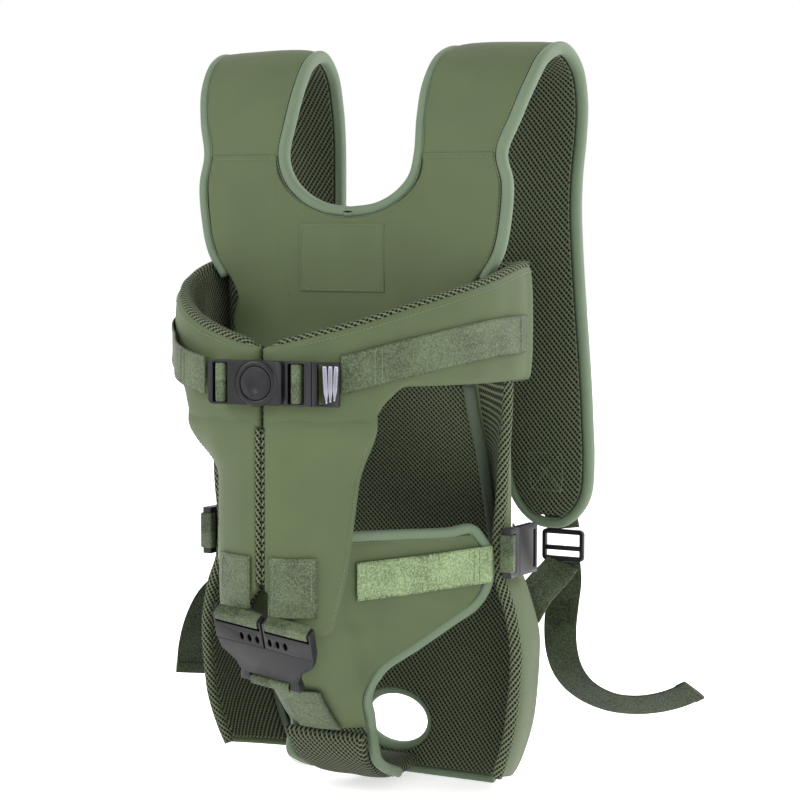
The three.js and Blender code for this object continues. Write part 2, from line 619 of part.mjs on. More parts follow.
// ---- three-way buckle: x across, y up, z outwards -----------------------------------------
function addThreeWay() {
  const frame = new THREE.Group();
  frame.position.set(0, threeWay.y, threeWay.z);
  frame.rotation.x = Math.PI / 2 + degToRad(threeWay.lean);
  const turned = new THREE.Group();
  turned.rotation.z = degToRad(threeWay.tilt);
  frame.add(turned);
  part.add(frame);
  const outline = [[42, 6], [40, -4], [29, -14], [25, -24], [27, -34]];
  const shape = new THREE.Shape();
  const left = [...outline].reverse().map(([x, y]) => [-x, y]);
  shape.setFromPoints([...left, ...outline].map((p) => new THREE.Vector2(...p)));
  const [pocketIn, pocketOut, pocketLow] = [3.5, 24, -16];
  const pockets = [-1, 1].map((side) => {
    const [x0, x1] = side > 0 ? [pocketIn, pocketOut] : [-pocketOut, -pocketIn];
    return block(x0, x1, pocketLow, 9, 2.2, 6);
  });
  const lowSlot = block(-17.5, 17.5, -29.5, -25, -1, 20);
  addPiece('three_way_housing', cut(plate(shape, threeWay.wall), ...pockets, lowSlot), 'plastic', turned);
  for (const [side, sign] of [['right', 1], ['left', -1]]) {
    const flip = (x0, x1, ...rest) => (sign > 0 ? block(x0, x1, ...rest) : block(-x1, -x0, ...rest));
    const head = flip(0.8, threeWay.half, 6 + slideGap, threeWay.head, 0, threeWay.wall);
    const blade = flip(pocketIn + slideGap, pocketOut - slideGap, pocketLow + 1, 8, 2.6, 5.6);
    const slot = flip(2.2, threeWay.half - 1.4, threeWay.head - 9.4, threeWay.head - 4.6, -1, 20);
    const vents = [5.5, 12.3, 19.1].map((x) => {
      const vent = roundRod(1.8, 20, 10).rotateX(Math.PI / 2).scale(1, 2.3, 1);
      return vent.translate(sign * x, 14, 4);
    });
    addPiece(`three_way_prong_${side}`, cut(join(head, blade), slot, ...vents), 'plastic', turned);
    const loop = webbingLoop(threeWay.wall, 4.6, tabWebbing - 1).rotateY(Math.PI / 2);
    loop.translate((sign * (2.2 + threeWay.half - 1.4)) / 2, threeWay.head - 2.3, threeWay.wall / 2);
    addPiece(`tab_loop_${side}`, bare(loop), 'webbing', turned);
  }
  const lowLoop = webbingLoop(threeWay.wall, 4.5, 34).rotateY(Math.PI / 2);
  addPiece('tab_loop_low', bare(lowLoop.translate(0, -31.75, threeWay.wall / 2)), 'webbing', turned);
}

// ---- side clips and ladder locks, in the vest's own axes ----------------------------------
function clipPieces() {
  const { x, y, z, height, wall } = clip;
  const [half, slot] = [height / 2, webbing / 2 + 0.5];
  const [x0, x1] = [x - wall / 2, x + wall / 2];
  const pocket = block(x - 2, x + 2, y - 1, y + clip.prong + 1, z - 14, z + 14);
  const rearSlot = block(x - 9, x + 9, y + clip.socket - 7, y + clip.socket - 3.4, z - slot, z + slot);
  const socket = cut(block(x0, x1, y, y + clip.socket, z - half, z + half), pocket, rearSlot);
  const root = y - slideGap;
  const body = block(x0, x1, root - clip.plug, root, z - half, z + half);
  const arms = [-1, 1].map((side) => {
    const [z0, z1] = side > 0 ? [z + 7, z + 13.6] : [z - 13.6, z - 7];
    return block(x - 1.6, x + 1.6, root - 1, y + clip.prong, z0, z1);
  });
  const frontSlot = block(x - 9, x + 9, root - clip.plug + 4, root - clip.plug + 9, z - slot, z + slot);
  const plug = cut(join(body, ...arms), frontSlot);
  const loop = webbingLoop(wall, 4, webbing);
  loop.translate(x, root - clip.plug + 2, z);
  return { socket, plug, loop: bare(loop) };
}

function addClipsAndLocks() {
  const { socket, plug, loop } = clipPieces();
  addPair('side_clip_socket', socket, 'plastic');
  addPair('side_clip_plug', plug, 'plastic');
  addPair('clip_loop', loop, 'webbing');
  const { z } = clip;
  const outside = offsetSurface(
    (u, v) => {
      const forward = lerp(0.62, 0.12, u);
      const bottom = sideBottom(forward);
      return sideSurface(forward, (z + (v - 0.5) * webbing - bottom) / (sideTop - bottom));
    },
    (sideWall + webbingWall) / 2 + layGap + 2 * bendSlack,
  );
  addPair('clip_anchor', bentPanel(outside, 6, 2, webbingWall), 'webbing');
  addLock();
}

function addLock() {
  const { x, y, z, width, height, wall, bar } = lock;
  const frame = plate(roundedOutline(width, height, 4), wall).rotateX(Math.PI / 2);
  frame.translate(x, y + wall / 2, z);
  const low = z - height / 2 + bar;
  const slots = [[low, low + 5.2], [low + 9, z + height / 2 - bar]];
  const tools = slots.map(([z0, z1]) => block(x - 15.6, x + 15.6, y - 9, y + 9, z0, z1));
  addPair('ladder_lock', cut(frame, ...tools), 'plastic');
}

addBack();
addStraps();
addCollarAndFlaps();
addSides();
addCrotch();
addWebbing();
addTails();
addCollarBuckle();
addThreeWay();
addClipsAndLocks();

export default part;
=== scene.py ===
import math
import bmesh
import bpy
import numpy as np
from mathutils import Matrix, Vector


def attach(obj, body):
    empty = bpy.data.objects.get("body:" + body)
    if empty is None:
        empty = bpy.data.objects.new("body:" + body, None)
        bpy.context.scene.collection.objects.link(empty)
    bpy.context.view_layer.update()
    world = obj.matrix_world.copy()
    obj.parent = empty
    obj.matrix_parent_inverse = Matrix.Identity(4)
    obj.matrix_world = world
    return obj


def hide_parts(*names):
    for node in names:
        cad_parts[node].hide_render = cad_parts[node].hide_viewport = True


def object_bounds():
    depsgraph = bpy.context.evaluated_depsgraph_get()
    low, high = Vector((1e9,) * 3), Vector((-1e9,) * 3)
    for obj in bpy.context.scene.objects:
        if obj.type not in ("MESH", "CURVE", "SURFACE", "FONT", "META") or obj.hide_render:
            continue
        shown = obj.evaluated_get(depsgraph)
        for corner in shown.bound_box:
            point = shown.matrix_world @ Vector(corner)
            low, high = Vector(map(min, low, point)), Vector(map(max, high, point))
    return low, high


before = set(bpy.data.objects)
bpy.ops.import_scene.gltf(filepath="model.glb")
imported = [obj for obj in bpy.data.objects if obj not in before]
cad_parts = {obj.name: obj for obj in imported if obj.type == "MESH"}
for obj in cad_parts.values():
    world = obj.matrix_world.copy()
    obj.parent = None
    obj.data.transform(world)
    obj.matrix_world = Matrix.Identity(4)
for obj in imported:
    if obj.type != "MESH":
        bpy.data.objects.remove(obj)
cadBox = [list(corner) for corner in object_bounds()]
print("frame loaded:", len(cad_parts), "nodes")

# Shapes are worked out in millimetres and put into meshes in metres.
millimetre = 0.001


def addObject(name, data):
    made = bpy.data.objects.new(name, data)
    bpy.context.scene.collection.objects.link(made)
    return made


# ---- camera -------------------------------------------------------------------------------
view = {
    "azimuth": 30.0, "elevation": 4.5, "distance": 2.0, "lens": 108.5,
    "aim": (0.0, 0.0, -0.29), "shift": (0.05, 0.0025),
}


def makeCamera():
    azimuth, elevation = math.radians(view["azimuth"]), math.radians(view["elevation"])
    outward = Vector((math.sin(azimuth) * math.cos(elevation),
                      -math.cos(azimuth) * math.cos(elevation), math.sin(elevation)))
    camera = addObject("camera", bpy.data.cameras.new("camera"))
    camera.location = Vector(view["aim"]) + view["distance"] * outward
    camera.rotation_euler = outward.to_track_quat("Z", "Y").to_euler()
    camera.data.lens, camera.data.sensor_width = view["lens"], 36
    camera.data.shift_x, camera.data.shift_y = view["shift"]
    camera.data.clip_end = 50
    bpy.context.scene.camera = camera


makeCamera()


# ---- lines and surfaces -------------------------------------------------------------------
def xyz(x, y, z):  # three arrays or numbers as one array of points
    return np.stack(np.broadcast_arrays(x, y, z), axis=-1).astype(float)


def mix(a, b, t):
    return a + (b - a) * t


def ease(x, low, high):  # 0 below low, 1 above high, smooth between
    t = np.clip((x - low) / (high - low), 0, 1)
    return t * t * (3 - 2 * t)


# The value at x on a smooth line through (x, value) stops: a cubic between stops whose slope
# at a stop is the harmonic mean of its neighbours' slopes, or nought at a turn.
def along(stops, x):
    at, value = np.array(sorted(stops), float).T
    slope = np.diff(value) / np.diff(at)
    product, total = slope[:-1] * slope[1:], slope[:-1] + slope[1:]
    inner = np.where(product > 0, 2 * product / np.where(total == 0, 1, total), 0)
    tangent = np.concatenate([slope[:1], inner, slope[-1:]])
    x = np.clip(x, at[0], at[-1])
    i = np.clip(np.searchsorted(at, x, side="right") - 1, 0, len(slope) - 1)
    width = at[i + 1] - at[i]
    t = (x - at[i]) / width
    bulge = t * (1 - t) ** 2 * width * tangent[i] - t * t * (1 - t) * width * tangent[i + 1]
    return mix(value[i], value[i + 1], t * t * (3 - 2 * t)) + bulge


# A centripetal Catmull-Rom line through points, sampled finely, with its distance along.
def smoothLine(points, count=900):
    p = np.array(points, float)
    p = np.vstack([2 * p[0] - p[1], p, 2 * p[-1] - p[-2]])
    step = np.maximum(spans(p), 1e-9) ** 0.5
    t = np.linspace(0, len(points) - 1, count)
    i = np.minimum(t.astype(int), len(points) - 2)
    t = (t - i)[:, None]
    a, b, c, d = p[i], p[i + 1], p[i + 2], p[i + 3]
    s0, s1, s2 = step[i][:, None], step[i + 1][:, None], step[i + 2][:, None]
    leave = ((b - a) / s0 - (c - a) / (s0 + s1) + (c - b) / s1) * s1
    arrive = ((c - b) / s1 - (d - b) / (s1 + s2) + (d - c) / s2) * s1
    line = b + leave * t + (-3 * b + 3 * c - 2 * leave - arrive) * t ** 2
    line = line + (2 * b - 2 * c + leave + arrive) * t ** 3
    return line, runOf(line)


def pointAt(line, share):  # a point at a share of a line's length
    points, run = line
    return np.stack([np.interp(share * run[-1], run, points[:, k]) for k in range(3)], axis=-1)


def evenPoints(points, spacing):
    line = smoothLine(points)
    return pointAt(line, np.linspace(0, 1, max(4, int(line[1][-1] / spacing))))


def spans(points, axis=0):  # the distances between neighbours
    return np.linalg.norm(np.diff(points, axis=axis), axis=-1)


def runOf(path):  # the distance along a path at each of its points
    return np.concatenate([[0], np.cumsum(spans(path))])


def unit(vectors):
    return vectors / np.maximum(np.linalg.norm(vectors, axis=-1, keepdims=True), 1e-12)


def gridNormals(points):  # across u times along v
    return unit(np.cross(np.gradient(points, axis=1), np.gradient(points, axis=0)))


def raised(surface, distance):  # a surface moved along its own normal
    step = 1e-3

    def moved(u, v):
        across = surface(np.minimum(u + step, 1), v) - surface(np.maximum(u - step, 0), v)
        upward = surface(u, np.minimum(v + step, 1)) - surface(u, np.maximum(v - step, 0))
        return surface(u, v) + unit(np.cross(across, upward)) * distance
    return moved


# Slow uneven waves for cloth: a few sine waves in seeded directions, added up.
def waves(s, t, depth, size, seed):
    chance = np.random.default_rng(seed)
    total = 0
    for _ in range(7):
        angle, phase = chance.uniform(0, 2 * np.pi, 2)
        length = size * chance.uniform(0.6, 1.7)
        total = total + np.sin(2 * np.pi * (s * np.cos(angle) + t * np.sin(angle)) / length + phase)
    return depth * total / 3.5


# ---- meshes -------------------------------------------------------------------------------
def gridFaces(index):  # the four corners of each cell of a grid of point numbers
    return np.stack([index[:-1, :-1], index[1:, :-1], index[1:, 1:], index[:-1, 1:]], -1).reshape(-1, 4)


def joined(index):  # the same grid with its first column again at the end
    return np.hstack([index, index[:, :1]])


def flipped(points, faces):  # the mirror image, its faces still outward
    return points * (-1, 1, 1), [face[::-1] for face in faces]


# A finish is a material and a slot's name; only the material goes on the mesh, and the slot's name is not
# used here.
def addMesh(name, points, faces, uv, finish, replaces=(), body="vest"):
    mesh = bpy.data.meshes.new(name)
    corners = [list(map(int, face)) for face in faces]
    mesh.from_pydata((np.asarray(points, float) * millimetre).tolist(), [], corners)
    layer = mesh.uv_layers.new(name="lay")
    layer.data.foreach_set("uv", (np.asarray(uv, float) * millimetre).ravel())
    mesh.polygons.foreach_set("use_smooth", np.ones(len(mesh.polygons), bool))
    material, slot = finish
    mesh.materials.append(material)
    mesh.update()
    piece = addObject(name, mesh)
    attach(piece, body)
    if replaces:
        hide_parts(replaces)
    return piece


# Grid steps from 0 to 1, packed near both ends where the edge turns round.
def packed(count, edgeShare):
    edge = min(edgeShare, 0.2)
    turn = edge * (1 - np.cos(np.linspace(0, np.pi / 2, 5)))
    return np.concatenate([turn[:-1], np.linspace(edge, 1 - edge, count - 8), 1 - turn[:-1][::-1]])


# A padded panel: two grids on either side of surface(u, v) that close in a round edge. Each lies
# off the surface by half the wall, times the root of 1 - (1 - distance from edge / edge) squared.
def softPanel(name, surface, columns, rows, wall, finish, replaces=(), edge=3.0, puff=0.0,
              puffReach=30.0, lift=None, back=1.0, mirror=False):
    coarse = surface(*np.meshgrid(np.linspace(0, 1, 24), np.linspace(0, 1, 24)))
    wide, tall = spans(coarse, 1).sum(1).mean(), spans(coarse, 0).sum(0).mean()
    u, v = np.meshgrid(packed(columns, edge / wide), packed(rows, edge / tall))
    middle = surface(u, v)
    s = np.pad(np.cumsum(spans(middle, 1), axis=1), ((0, 0), (1, 0)))
    t = np.pad(np.cumsum(spans(middle, 0), axis=0), ((1, 0), (0, 0)))
    away = np.minimum(np.minimum(s, s[:, -1:] - s), np.minimum(t, t[-1:] - t))
    swell = np.sqrt(1 - (1 - np.clip(away / edge, 0, 1)) ** 2)
    crown = 1 - (1 - np.clip(away / puffReach, 0, 1)) ** 2
    thick = wall(u, v) if callable(wall) else wall
    outward = thick / 2 * swell + puff * crown
    if lift is not None:
        outward = outward + lift(u, v, s, t) * ease(away, 0, 8)
    normal = gridNormals(middle)
    outer = middle + normal * outward[..., None]
    inner = middle - normal * (thick / 2 * swell * back)[..., None]
    layUv = np.stack([s - s[:, -1:] / 2, t], axis=-1)
    return addShell(name, outer, inner, layUv, finish, replaces, mirror)


# Two grids with a rim in common, as one closed shell.
def addShell(name, outer, inner, layUv, finish, replaces, mirror):
    rows, columns = outer.shape[:2]
    index = np.arange(rows * columns).reshape(rows, columns)
    rim = np.ones((rows, columns), bool)
    rim[1:-1, 1:-1] = False
    under = np.where(rim, index, 0)
    under[~rim] = rows * columns + np.arange((~rim).sum())
    points = np.vstack([outer.reshape(-1, 3), inner[~rim]])
    uvs = np.vstack([layUv.reshape(-1, 2), layUv[~rim]])
    faces = np.vstack([gridFaces(index)[:, [0, 3, 2, 1]], gridFaces(under)[:, [1, 2, 3, 0]]])
    if mirror:
        points, faces = flipped(points, faces)
    return addMesh(name, points, faces, uvs[np.ravel(faces)], finish, replaces)


# A rounded outline of a section: a circle pushed towards a box by its power.
def roundSection(width, height, power=2.0, count=20):
    a = np.linspace(0, 2 * np.pi, count, endpoint=False)
    bend = lambda f, size: size / 2 * np.sign(f) * np.abs(f) ** (2 / power)
    return np.stack([bend(np.cos(a), width), bend(np.sin(a), height)], axis=-1)


# A section carried along a path: x of the section goes across, y along the given normals.
def sweep(name, path, normals, section, finish, replaces=(), mirror=False, swell=None, closed=False,
          body="vest"):
    path = np.asarray(path, float)
    ahead = np.roll(path, -1, 0) - np.roll(path, 1, 0) if closed else np.gradient(path, axis=0)
    tangent = unit(ahead)
    across = unit(np.cross(tangent, np.broadcast_to(normals, path.shape)))
    upward = np.cross(across, tangent)
    size = np.ones(len(path)) if swell is None else swell(np.linspace(0, 1, len(path)))
    x, y = section[:, 0], section[:, 1]
    rings = path[:, None] + size[:, None, None] * (across[:, None] * x[None, :, None]
                                                   + upward[:, None] * y[None, :, None])
    steps, sides = rings.shape[:2]
    index = joined(np.arange(steps * sides).reshape(steps, sides))
    if closed:
        index, path = np.vstack([index, index[:1]]), np.vstack([path, path[:1]])
    outline = np.vstack([section, section[:1]])
    r, q = np.meshgrid(runOf(path), runOf(outline), indexing="ij")
    uvGrid = np.stack([q, r], axis=-1)
    corners = np.stack([uvGrid[:-1, :-1], uvGrid[1:, :-1], uvGrid[1:, 1:], uvGrid[:-1, 1:]], axis=2)
    first, last = list(range(sides)), list(range((steps - 1) * sides, steps * sides))
    faces, uvs = gridFaces(index).tolist(), corners.reshape(-1, 2)
    if not closed:
        faces, uvs = faces + [first, last[::-1]], np.vstack([uvs, section, section[::-1]])
    points = rings.reshape(-1, 3)
    if mirror:
        points, faces = flipped(points, faces)
        ends = np.cumsum([0] + [len(face) for face in faces])
        uvs = np.vstack([uvs[a:b][::-1] for a, b in zip(ends[:-1], ends[1:])])
    return addMesh(name, points, faces, uvs, finish, replaces, body)


# Sewn stitches: short rounded grains along a path, each five rings of six points.
def stitches(name, path, normals, slot, pitch=3.4, length=2.4, thick=0.75, mirror=False):
    path = np.asarray(path, float)
    normals = np.broadcast_to(normals, path.shape)
    run = runOf(path)
    at = np.arange(pitch / 2, run[-1] - pitch / 4, pitch)
    pick = lambda values: np.stack([np.interp(at, run, values[:, k]) for k in range(3)], axis=-1)
    place = pick(path)
    forward = unit(pick(np.gradient(path, axis=0)))
    across = unit(np.cross(forward, pick(normals)))
    upward = np.cross(across, forward)
    ringAt = np.array([-0.5, -0.36, 0, 0.36, 0.5]) * length
    girth = np.array([0.35, 0.85, 1, 0.85, 0.35]) * thick / 2
    rings, sides = len(girth), 6
    a = np.linspace(0, 2 * np.pi, sides, endpoint=False)
    grain = np.stack([np.repeat(ringAt, sides), np.outer(girth, np.cos(a)).ravel(),
                      np.outer(girth, np.sin(a)).ravel() * 0.8], axis=-1)
    axes = (forward, across, upward)
    points = place[:, None] + sum(axes[k][:, None] * grain[None, :, k:k + 1] for k in range(3))
    index = np.arange(rings * sides).reshape(rings, sides)
    one = gridFaces(joined(index)).tolist() + [index[0].tolist(), index[-1].tolist()[::-1]]
    faces = [[k + rings * sides * n for k in face] for n in range(len(at)) for face in one]
    points = points.reshape(-1, 3)
    if mirror:
        points, faces = flipped(points, faces)
    corners = sum(len(face) for face in faces)
    return addMesh(name, points, faces, np.zeros((corners, 2)), (threadMaterial, slot))


def ribbonPanel(name, surface, columns, rows, wall, finish, replaces=(), mirror=False, lift=None):
    return softPanel(name, surface, columns, rows, wall, finish, replaces, edge=wall * 0.55, mirror=mirror,
                     lift=lift)


# ---- materials ----------------------------------------------------------------------------
class Wire:  # a socket that takes part in arithmetic; each operator adds one Math node
    def __init__(self, shader, socket):
        self.shader, self.socket = shader, socket

    def math(self, operation, *others):
        values = {i: other for i, other in enumerate((self, *others))}
        return self.shader.add("ShaderNodeMath", {"operation": operation}, values)

    def __add__(self, other): return self.math("ADD", other)
    def __sub__(self, other): return self.math("SUBTRACT", other)
    def __mul__(self, other): return self.math("MULTIPLY", other)
    def __truediv__(self, other): return self.math("DIVIDE", other)
    def __pow__(self, other): return self.math("POWER", other)
    def __rsub__(self, other): return self.shader.wire(other).math("SUBTRACT", self)
    __radd__, __rmul__ = __add__, __mul__

    def wave(self, period):
        return (self * (2 * math.pi / period)).math("SINE") * 0.5 + 0.5

    def between(self, low, high):
        return self.shader.add("ShaderNodeMapRange", {"interpolation_type": "SMOOTHSTEP"},
                               {"Value": self, "From Min": low, "From Max": high})


class Shader:  # one material, its Principled node and whatever feeds it
    def __init__(self, name, **plain):
        self.material = bpy.data.materials.new(name)
        self.material.use_nodes = True
        self.tree = self.material.node_tree
        self.surface = self.tree.nodes["Principled BSDF"]
        for socket, value in plain.items():
            self.surface.inputs[socket.replace("_", " ")].default_value = value

    def put(self, socket, value):
        if isinstance(value, Wire):
            self.tree.links.new(value.socket, socket)
        else:
            socket.default_value = value

    def add(self, kind, settings=(), values=(), output=0):
        node = self.tree.nodes.new(kind)
        for key, value in dict(settings).items():
            if key == "stops":
                ramp = node.color_ramp.elements
                while len(ramp) < len(value):
                    ramp.new(0.5)
                for element, (place, color) in zip(ramp, value):
                    element.position, element.color = place, (*color, 1)
            else:
                setattr(node, key, value)
        for key, value in dict(values).items():
            self.put(node.inputs[key], value)
        return Wire(self, node.outputs[output])

    def wire(self, number):
        return self.add("ShaderNodeMath", {"operation": "ADD"}, {0: number, 1: 0.0})

    def feed(self, **inputs):
        for name, value in inputs.items():
            self.put(self.surface.inputs[name.replace("_", " ")], value)

    def lay(self):  # how far across and along the cloth, in millimetres
        cloth = self.add("ShaderNodeUVMap", {"uv_map": "lay"})
        parts = self.tree.nodes.new("ShaderNodeSeparateXYZ")
        self.tree.links.new(cloth.socket, parts.inputs[0])
        return Wire(self, parts.outputs[0]) * 1000, Wire(self, parts.outputs[1]) * 1000

    def noise(self, scale, detail=3.0, roughness=0.5):  # on the object's own coordinates
        where = self.add("ShaderNodeTexCoord", output=3)
        return self.add("ShaderNodeTexNoise", {}, {"Vector": where, "Scale": scale, "Detail": detail,
                                                   "Roughness": roughness})

    def blendColor(self, amount, first, second):
        node = self.tree.nodes.new("ShaderNodeMix")
        node.data_type = "RGBA"
        self.put(node.inputs[0], amount)
        for socket, value in ((node.inputs[6], first), (node.inputs[7], second)):
            self.put(socket, value if isinstance(value, Wire) else (*value, 1))
        return Wire(self, node.outputs[2])

    def bump(self, height, strength, distance):
        settings = {"Height": height, "Strength": strength, "Distance": distance}
        return self.add("ShaderNodeBump", {}, settings)


dyes = {
    "cover": (0.072, 0.097, 0.043), "coverShade": (0.056, 0.076, 0.033),
    "binding": (0.115, 0.165, 0.098), "bindingShade": (0.062, 0.092, 0.050),
    "meshYarn": (0.092, 0.112, 0.060), "meshHole": (0.003, 0.004, 0.002),
    "webbing": (0.170, 0.225, 0.116), "webbingShade": (0.010, 0.016, 0.006),
    "thread": (0.110, 0.150, 0.085), "plastic": (0.004, 0.004, 0.005), "worn": (0.020, 0.020, 0.023),
}


def dye(name, tone):
    return tuple(tone * c for c in dyes[name])


# Smooth coated nylon: a fine plain weave, slow patches of tone and a faint sheen.
def makeCoverFinish(name="cover", tone=1.0):
    shader = Shader(name, Sheen_Weight=0.06, Sheen_Roughness=0.45, Specular_IOR_Level=0.22)
    across, down = shader.lay()
    weave = across.wave(0.85) * down.wave(0.85) + (1 - across.wave(0.85)) * (1 - down.wave(0.85))
    patches = shader.noise(22, 4).between(0.3, 0.72)
    fine = shader.noise(420, 2)
    amount = patches * 0.55 + weave * 0.18 + fine * 0.22
    color = shader.blendColor(amount, dye("coverShade", tone), dye("cover", tone))
    height = weave * 0.6 + fine * 0.5
    shader.feed(Base_Color=color, Roughness=0.56 + patches * 0.12 + fine * 0.06,
                Normal=shader.bump(height, 0.35, 0.0003))
    return shader.material


# Bias tape: a steep twill across its length, lighter on the ribs.
def makeBindingFinish(name="binding", tone=1.0):
    shader = Shader(name, Sheen_Weight=0.15, Sheen_Roughness=0.4)
    across, down = shader.lay()
    twill = (down + across * 0.55).wave(0.95)
    cross = (down * 0.3 - across).wave(1.1)
    patches = shader.noise(60, 3)
    amount = twill * 0.55 + cross * 0.15 + patches * 0.35
    color = shader.blendColor(amount, dye("bindingShade", tone), dye("binding", tone))
    shader.feed(Base_Color=color, Roughness=0.62 + twill * 0.14,
                Normal=shader.bump(twill * 0.7 + cross * 0.3, 0.55, 0.0004))
    return shader.material


# Spacer mesh: a lattice of small holes between two crossing families of yarn, one of them prouder.
def makeMeshFinish(name="mesh", tone=1.0):
    shader = Shader(name, Sheen_Weight=0.03, Specular_IOR_Level=0.2)
    across, down = shader.lay()
    first = (across * 0.80 + down * 0.60).wave(3.5)
    second = (across * 0.66 - down * 0.75).wave(2.9)
    holes = (first * second).between(0.10, 0.42)
    ridge = first.between(0.0, 0.8) * 0.5
    net = (1 - holes) * (1 - ridge)
    strands = shader.noise(900, 2)
    amount = net * 0.85 + strands * net * 0.3
    color = shader.blendColor(amount, dyes["meshHole"], dye("meshYarn", tone))
    shader.feed(Base_Color=color, Roughness=0.80 + holes * 0.15,
                Normal=shader.bump(net + strands * 0.15, 1.0, 0.0016))
    return shader.material


# Woven webbing: chevrons of bright filament yarn, with a tight selvedge at both edges; painted glints
# (painted highlights) lighten its colour in small spots.
def makeWebbingFinish(name="webbing", tone=1.0, half=15.0, gloss=0.32):
    shader = Shader(name, Specular_IOR_Level=gloss)
    across, down = shader.lay()
    zigzag = (across / 3.75).math("PINGPONG", 1.0) * 1.9
    yarns = (down + zigzag).wave(1.25)
    cords = across.wave(0.94)
    selvedge = across.math("ABSOLUTE").between(half - 1.8, half - 1.0)
    glints = shader.noise(620, 3, 0.75).between(0.36, 0.66)
    patches = shader.noise(38, 3).between(0.3, 0.7)
    height = yarns * 0.65 + cords * 0.35
    # glints lighten the base colour as painted highlights, and also lower the roughness there
    amount = height * 0.22 + glints * 0.34 + patches * 0.16 - selvedge * 0.12
    color = shader.blendColor(amount, dye("webbingShade", tone), dye("webbing", tone))
    shader.feed(Base_Color=color, Roughness=0.34 + patches * 0.10 + (1 - glints) * 0.16,
                Normal=shader.bump(height + glints * 0.4, 0.7, 0.0006))
    return shader.material


def makeThreadFinish():
    shader = Shader("thread", Sheen_Weight=0.3)
    tone = shader.noise(500, 2)
    color = shader.blendColor(tone, dyes["bindingShade"], dyes["thread"])
    shader.feed(Base_Color=color, Roughness=0.5 + tone * 0.2)
    return shader.material


# Moulded nylon: a satin grain, faint flow marks, and lighter scuffs on the corners.
def makePlasticFinish(name="plastic", tone=1.0, rough=0.27):
    shader = Shader(name, Specular_IOR_Level=0.26, Coat_Weight=0.03, Coat_Roughness=0.25)
    grain = shader.noise(1500, 2)
    flow = shader.noise(45, 3).between(0.35, 0.7)
    scuffs = shader.noise(240, 5, 0.65).between(0.60, 0.74)
    corner = shader.add("ShaderNodeNewGeometry", output=7).between(0.505, 0.56)
    amount = scuffs * 0.25 + corner * 0.5 + flow * 0.1
    color = shader.blendColor(amount, dye("plastic", tone), dye("worn", tone))
    shader.feed(Base_Color=color, Roughness=rough + flow * 0.10 + grain * 0.12 + scuffs * 0.1,
                Normal=shader.bump(grain * 0.6 + scuffs * 0.3, 0.22, 0.0002))
    return shader.material


coverFinish = (makeCoverFinish(), "cover")
patchFinish = (makeCoverFinish("patch", tone=1.06), "cover")
bindingFinish = (makeBindingFinish(), "binding")
# a darker copy of the binding for the seams inside the vest: painted shade
bindingShadedFinish = (makeBindingFinish("binding_shaded", tone=0.42), "binding")
meshFinish = (makeMeshFinish(), "mesh")
edgeMeshFinish = (makeMeshFinish("edge_mesh", tone=1.25), "mesh")
webbingFinish = (makeWebbingFinish(), "webbing")
tabFinish = (makeWebbingFinish("tab_webbing", half=19.0), "webbing")
tailFinish = (makeWebbingFinish("tail_webbing", tone=0.6, gloss=0.15), "webbing")
# the wing straps get a far lighter copy of the webbing: a painted highlight where the lamps shine on them
litWingFinish = (makeWebbingFinish("wing_webbing", tone=2.6), "webbing")
plasticFinish = (makePlasticFinish(), "plastic")
# the grip ribs take a pale grey copy of the black plastic: painted glare, a painted highlight on the glossy
# end plate
plateGlareFinish = (makePlasticFinish("plate", tone=30.0, rough=0.28), "plastic")
threadMaterial = makeThreadFinish()
print("materials made")

# ---- strap tails: the free cords ----------------------------------------------------------
tails = {
    "width": 30.0, "wall": 1.8, "step": 2.2, "flutter": 0.25,
    "hemSteps": 4, "hemWidth": 30.4, "hemWall": 4.4,
    "right": [
        (133, 116.2, -428.4), (133, 118.5, -443), (130, 119.5, -465), (128, 119.5, -485),
        (128, 122, -504), (130, 129, -522), (135, 140, -537), (144, 152, -548), (157, 163, -555),
        (173, 171, -557), (191, 176, -555), (210, 178, -549), (227, 178, -540),
    ],
    "left": [
        (-133, 116.2, -428.4), (-133, 118.5, -438), (-138, 122, -449.5), (-149, 124, -458),
        (-164, 119, -462), (-178, 107, -465), (-190, 92, -470), (-199, 77, -481),
        (-204, 65, -499), (-206, 57, -521), (-206, 53, -546),
    ],
}


# Turns a first normal along a line without twisting it: each step takes off the part of the
# normal that lies along the next tangent.
def carriedNormals(path, first):
    tangents = unit(np.gradient(path, axis=0))
    normals = [np.array(first, float)]
    for tangent in tangents:
        normal = normals[-1] - tangent * (normals[-1] @ tangent)
        normals.append(normal / np.linalg.norm(normal))
    return np.array(normals[1:])


def makeTails():
    section = roundSection(tails["width"], tails["wall"], 6, 28)
    hemSection = roundSection(tails["hemWidth"], tails["hemWall"], 5, 28)
    for side in ("right", "left"):
        path = evenPoints(tails[side], tails["step"])
        normals = carriedNormals(path, (0, 1, 0))
        run = np.linspace(0, 1, len(path))
        flutter = waves(run * 200, run * 0, tails["flutter"], 60, 4)[:, None] * normals
        tail = sweep(f"tail_{side}", path + flutter * ease(run, 0.1, 0.3)[:, None], normals, section,
                     tailFinish, f"strap_tail_{side}")
        length = float(spans(path).sum()) * millimetre
        end = slice(-1 - tails["hemSteps"], None)
        hem = sweep(f"tail_hem_{side}", path[end], normals[end], hemSection, tailFinish)
        print(f"tail {side}: {length:.3f} m")


makeTails()

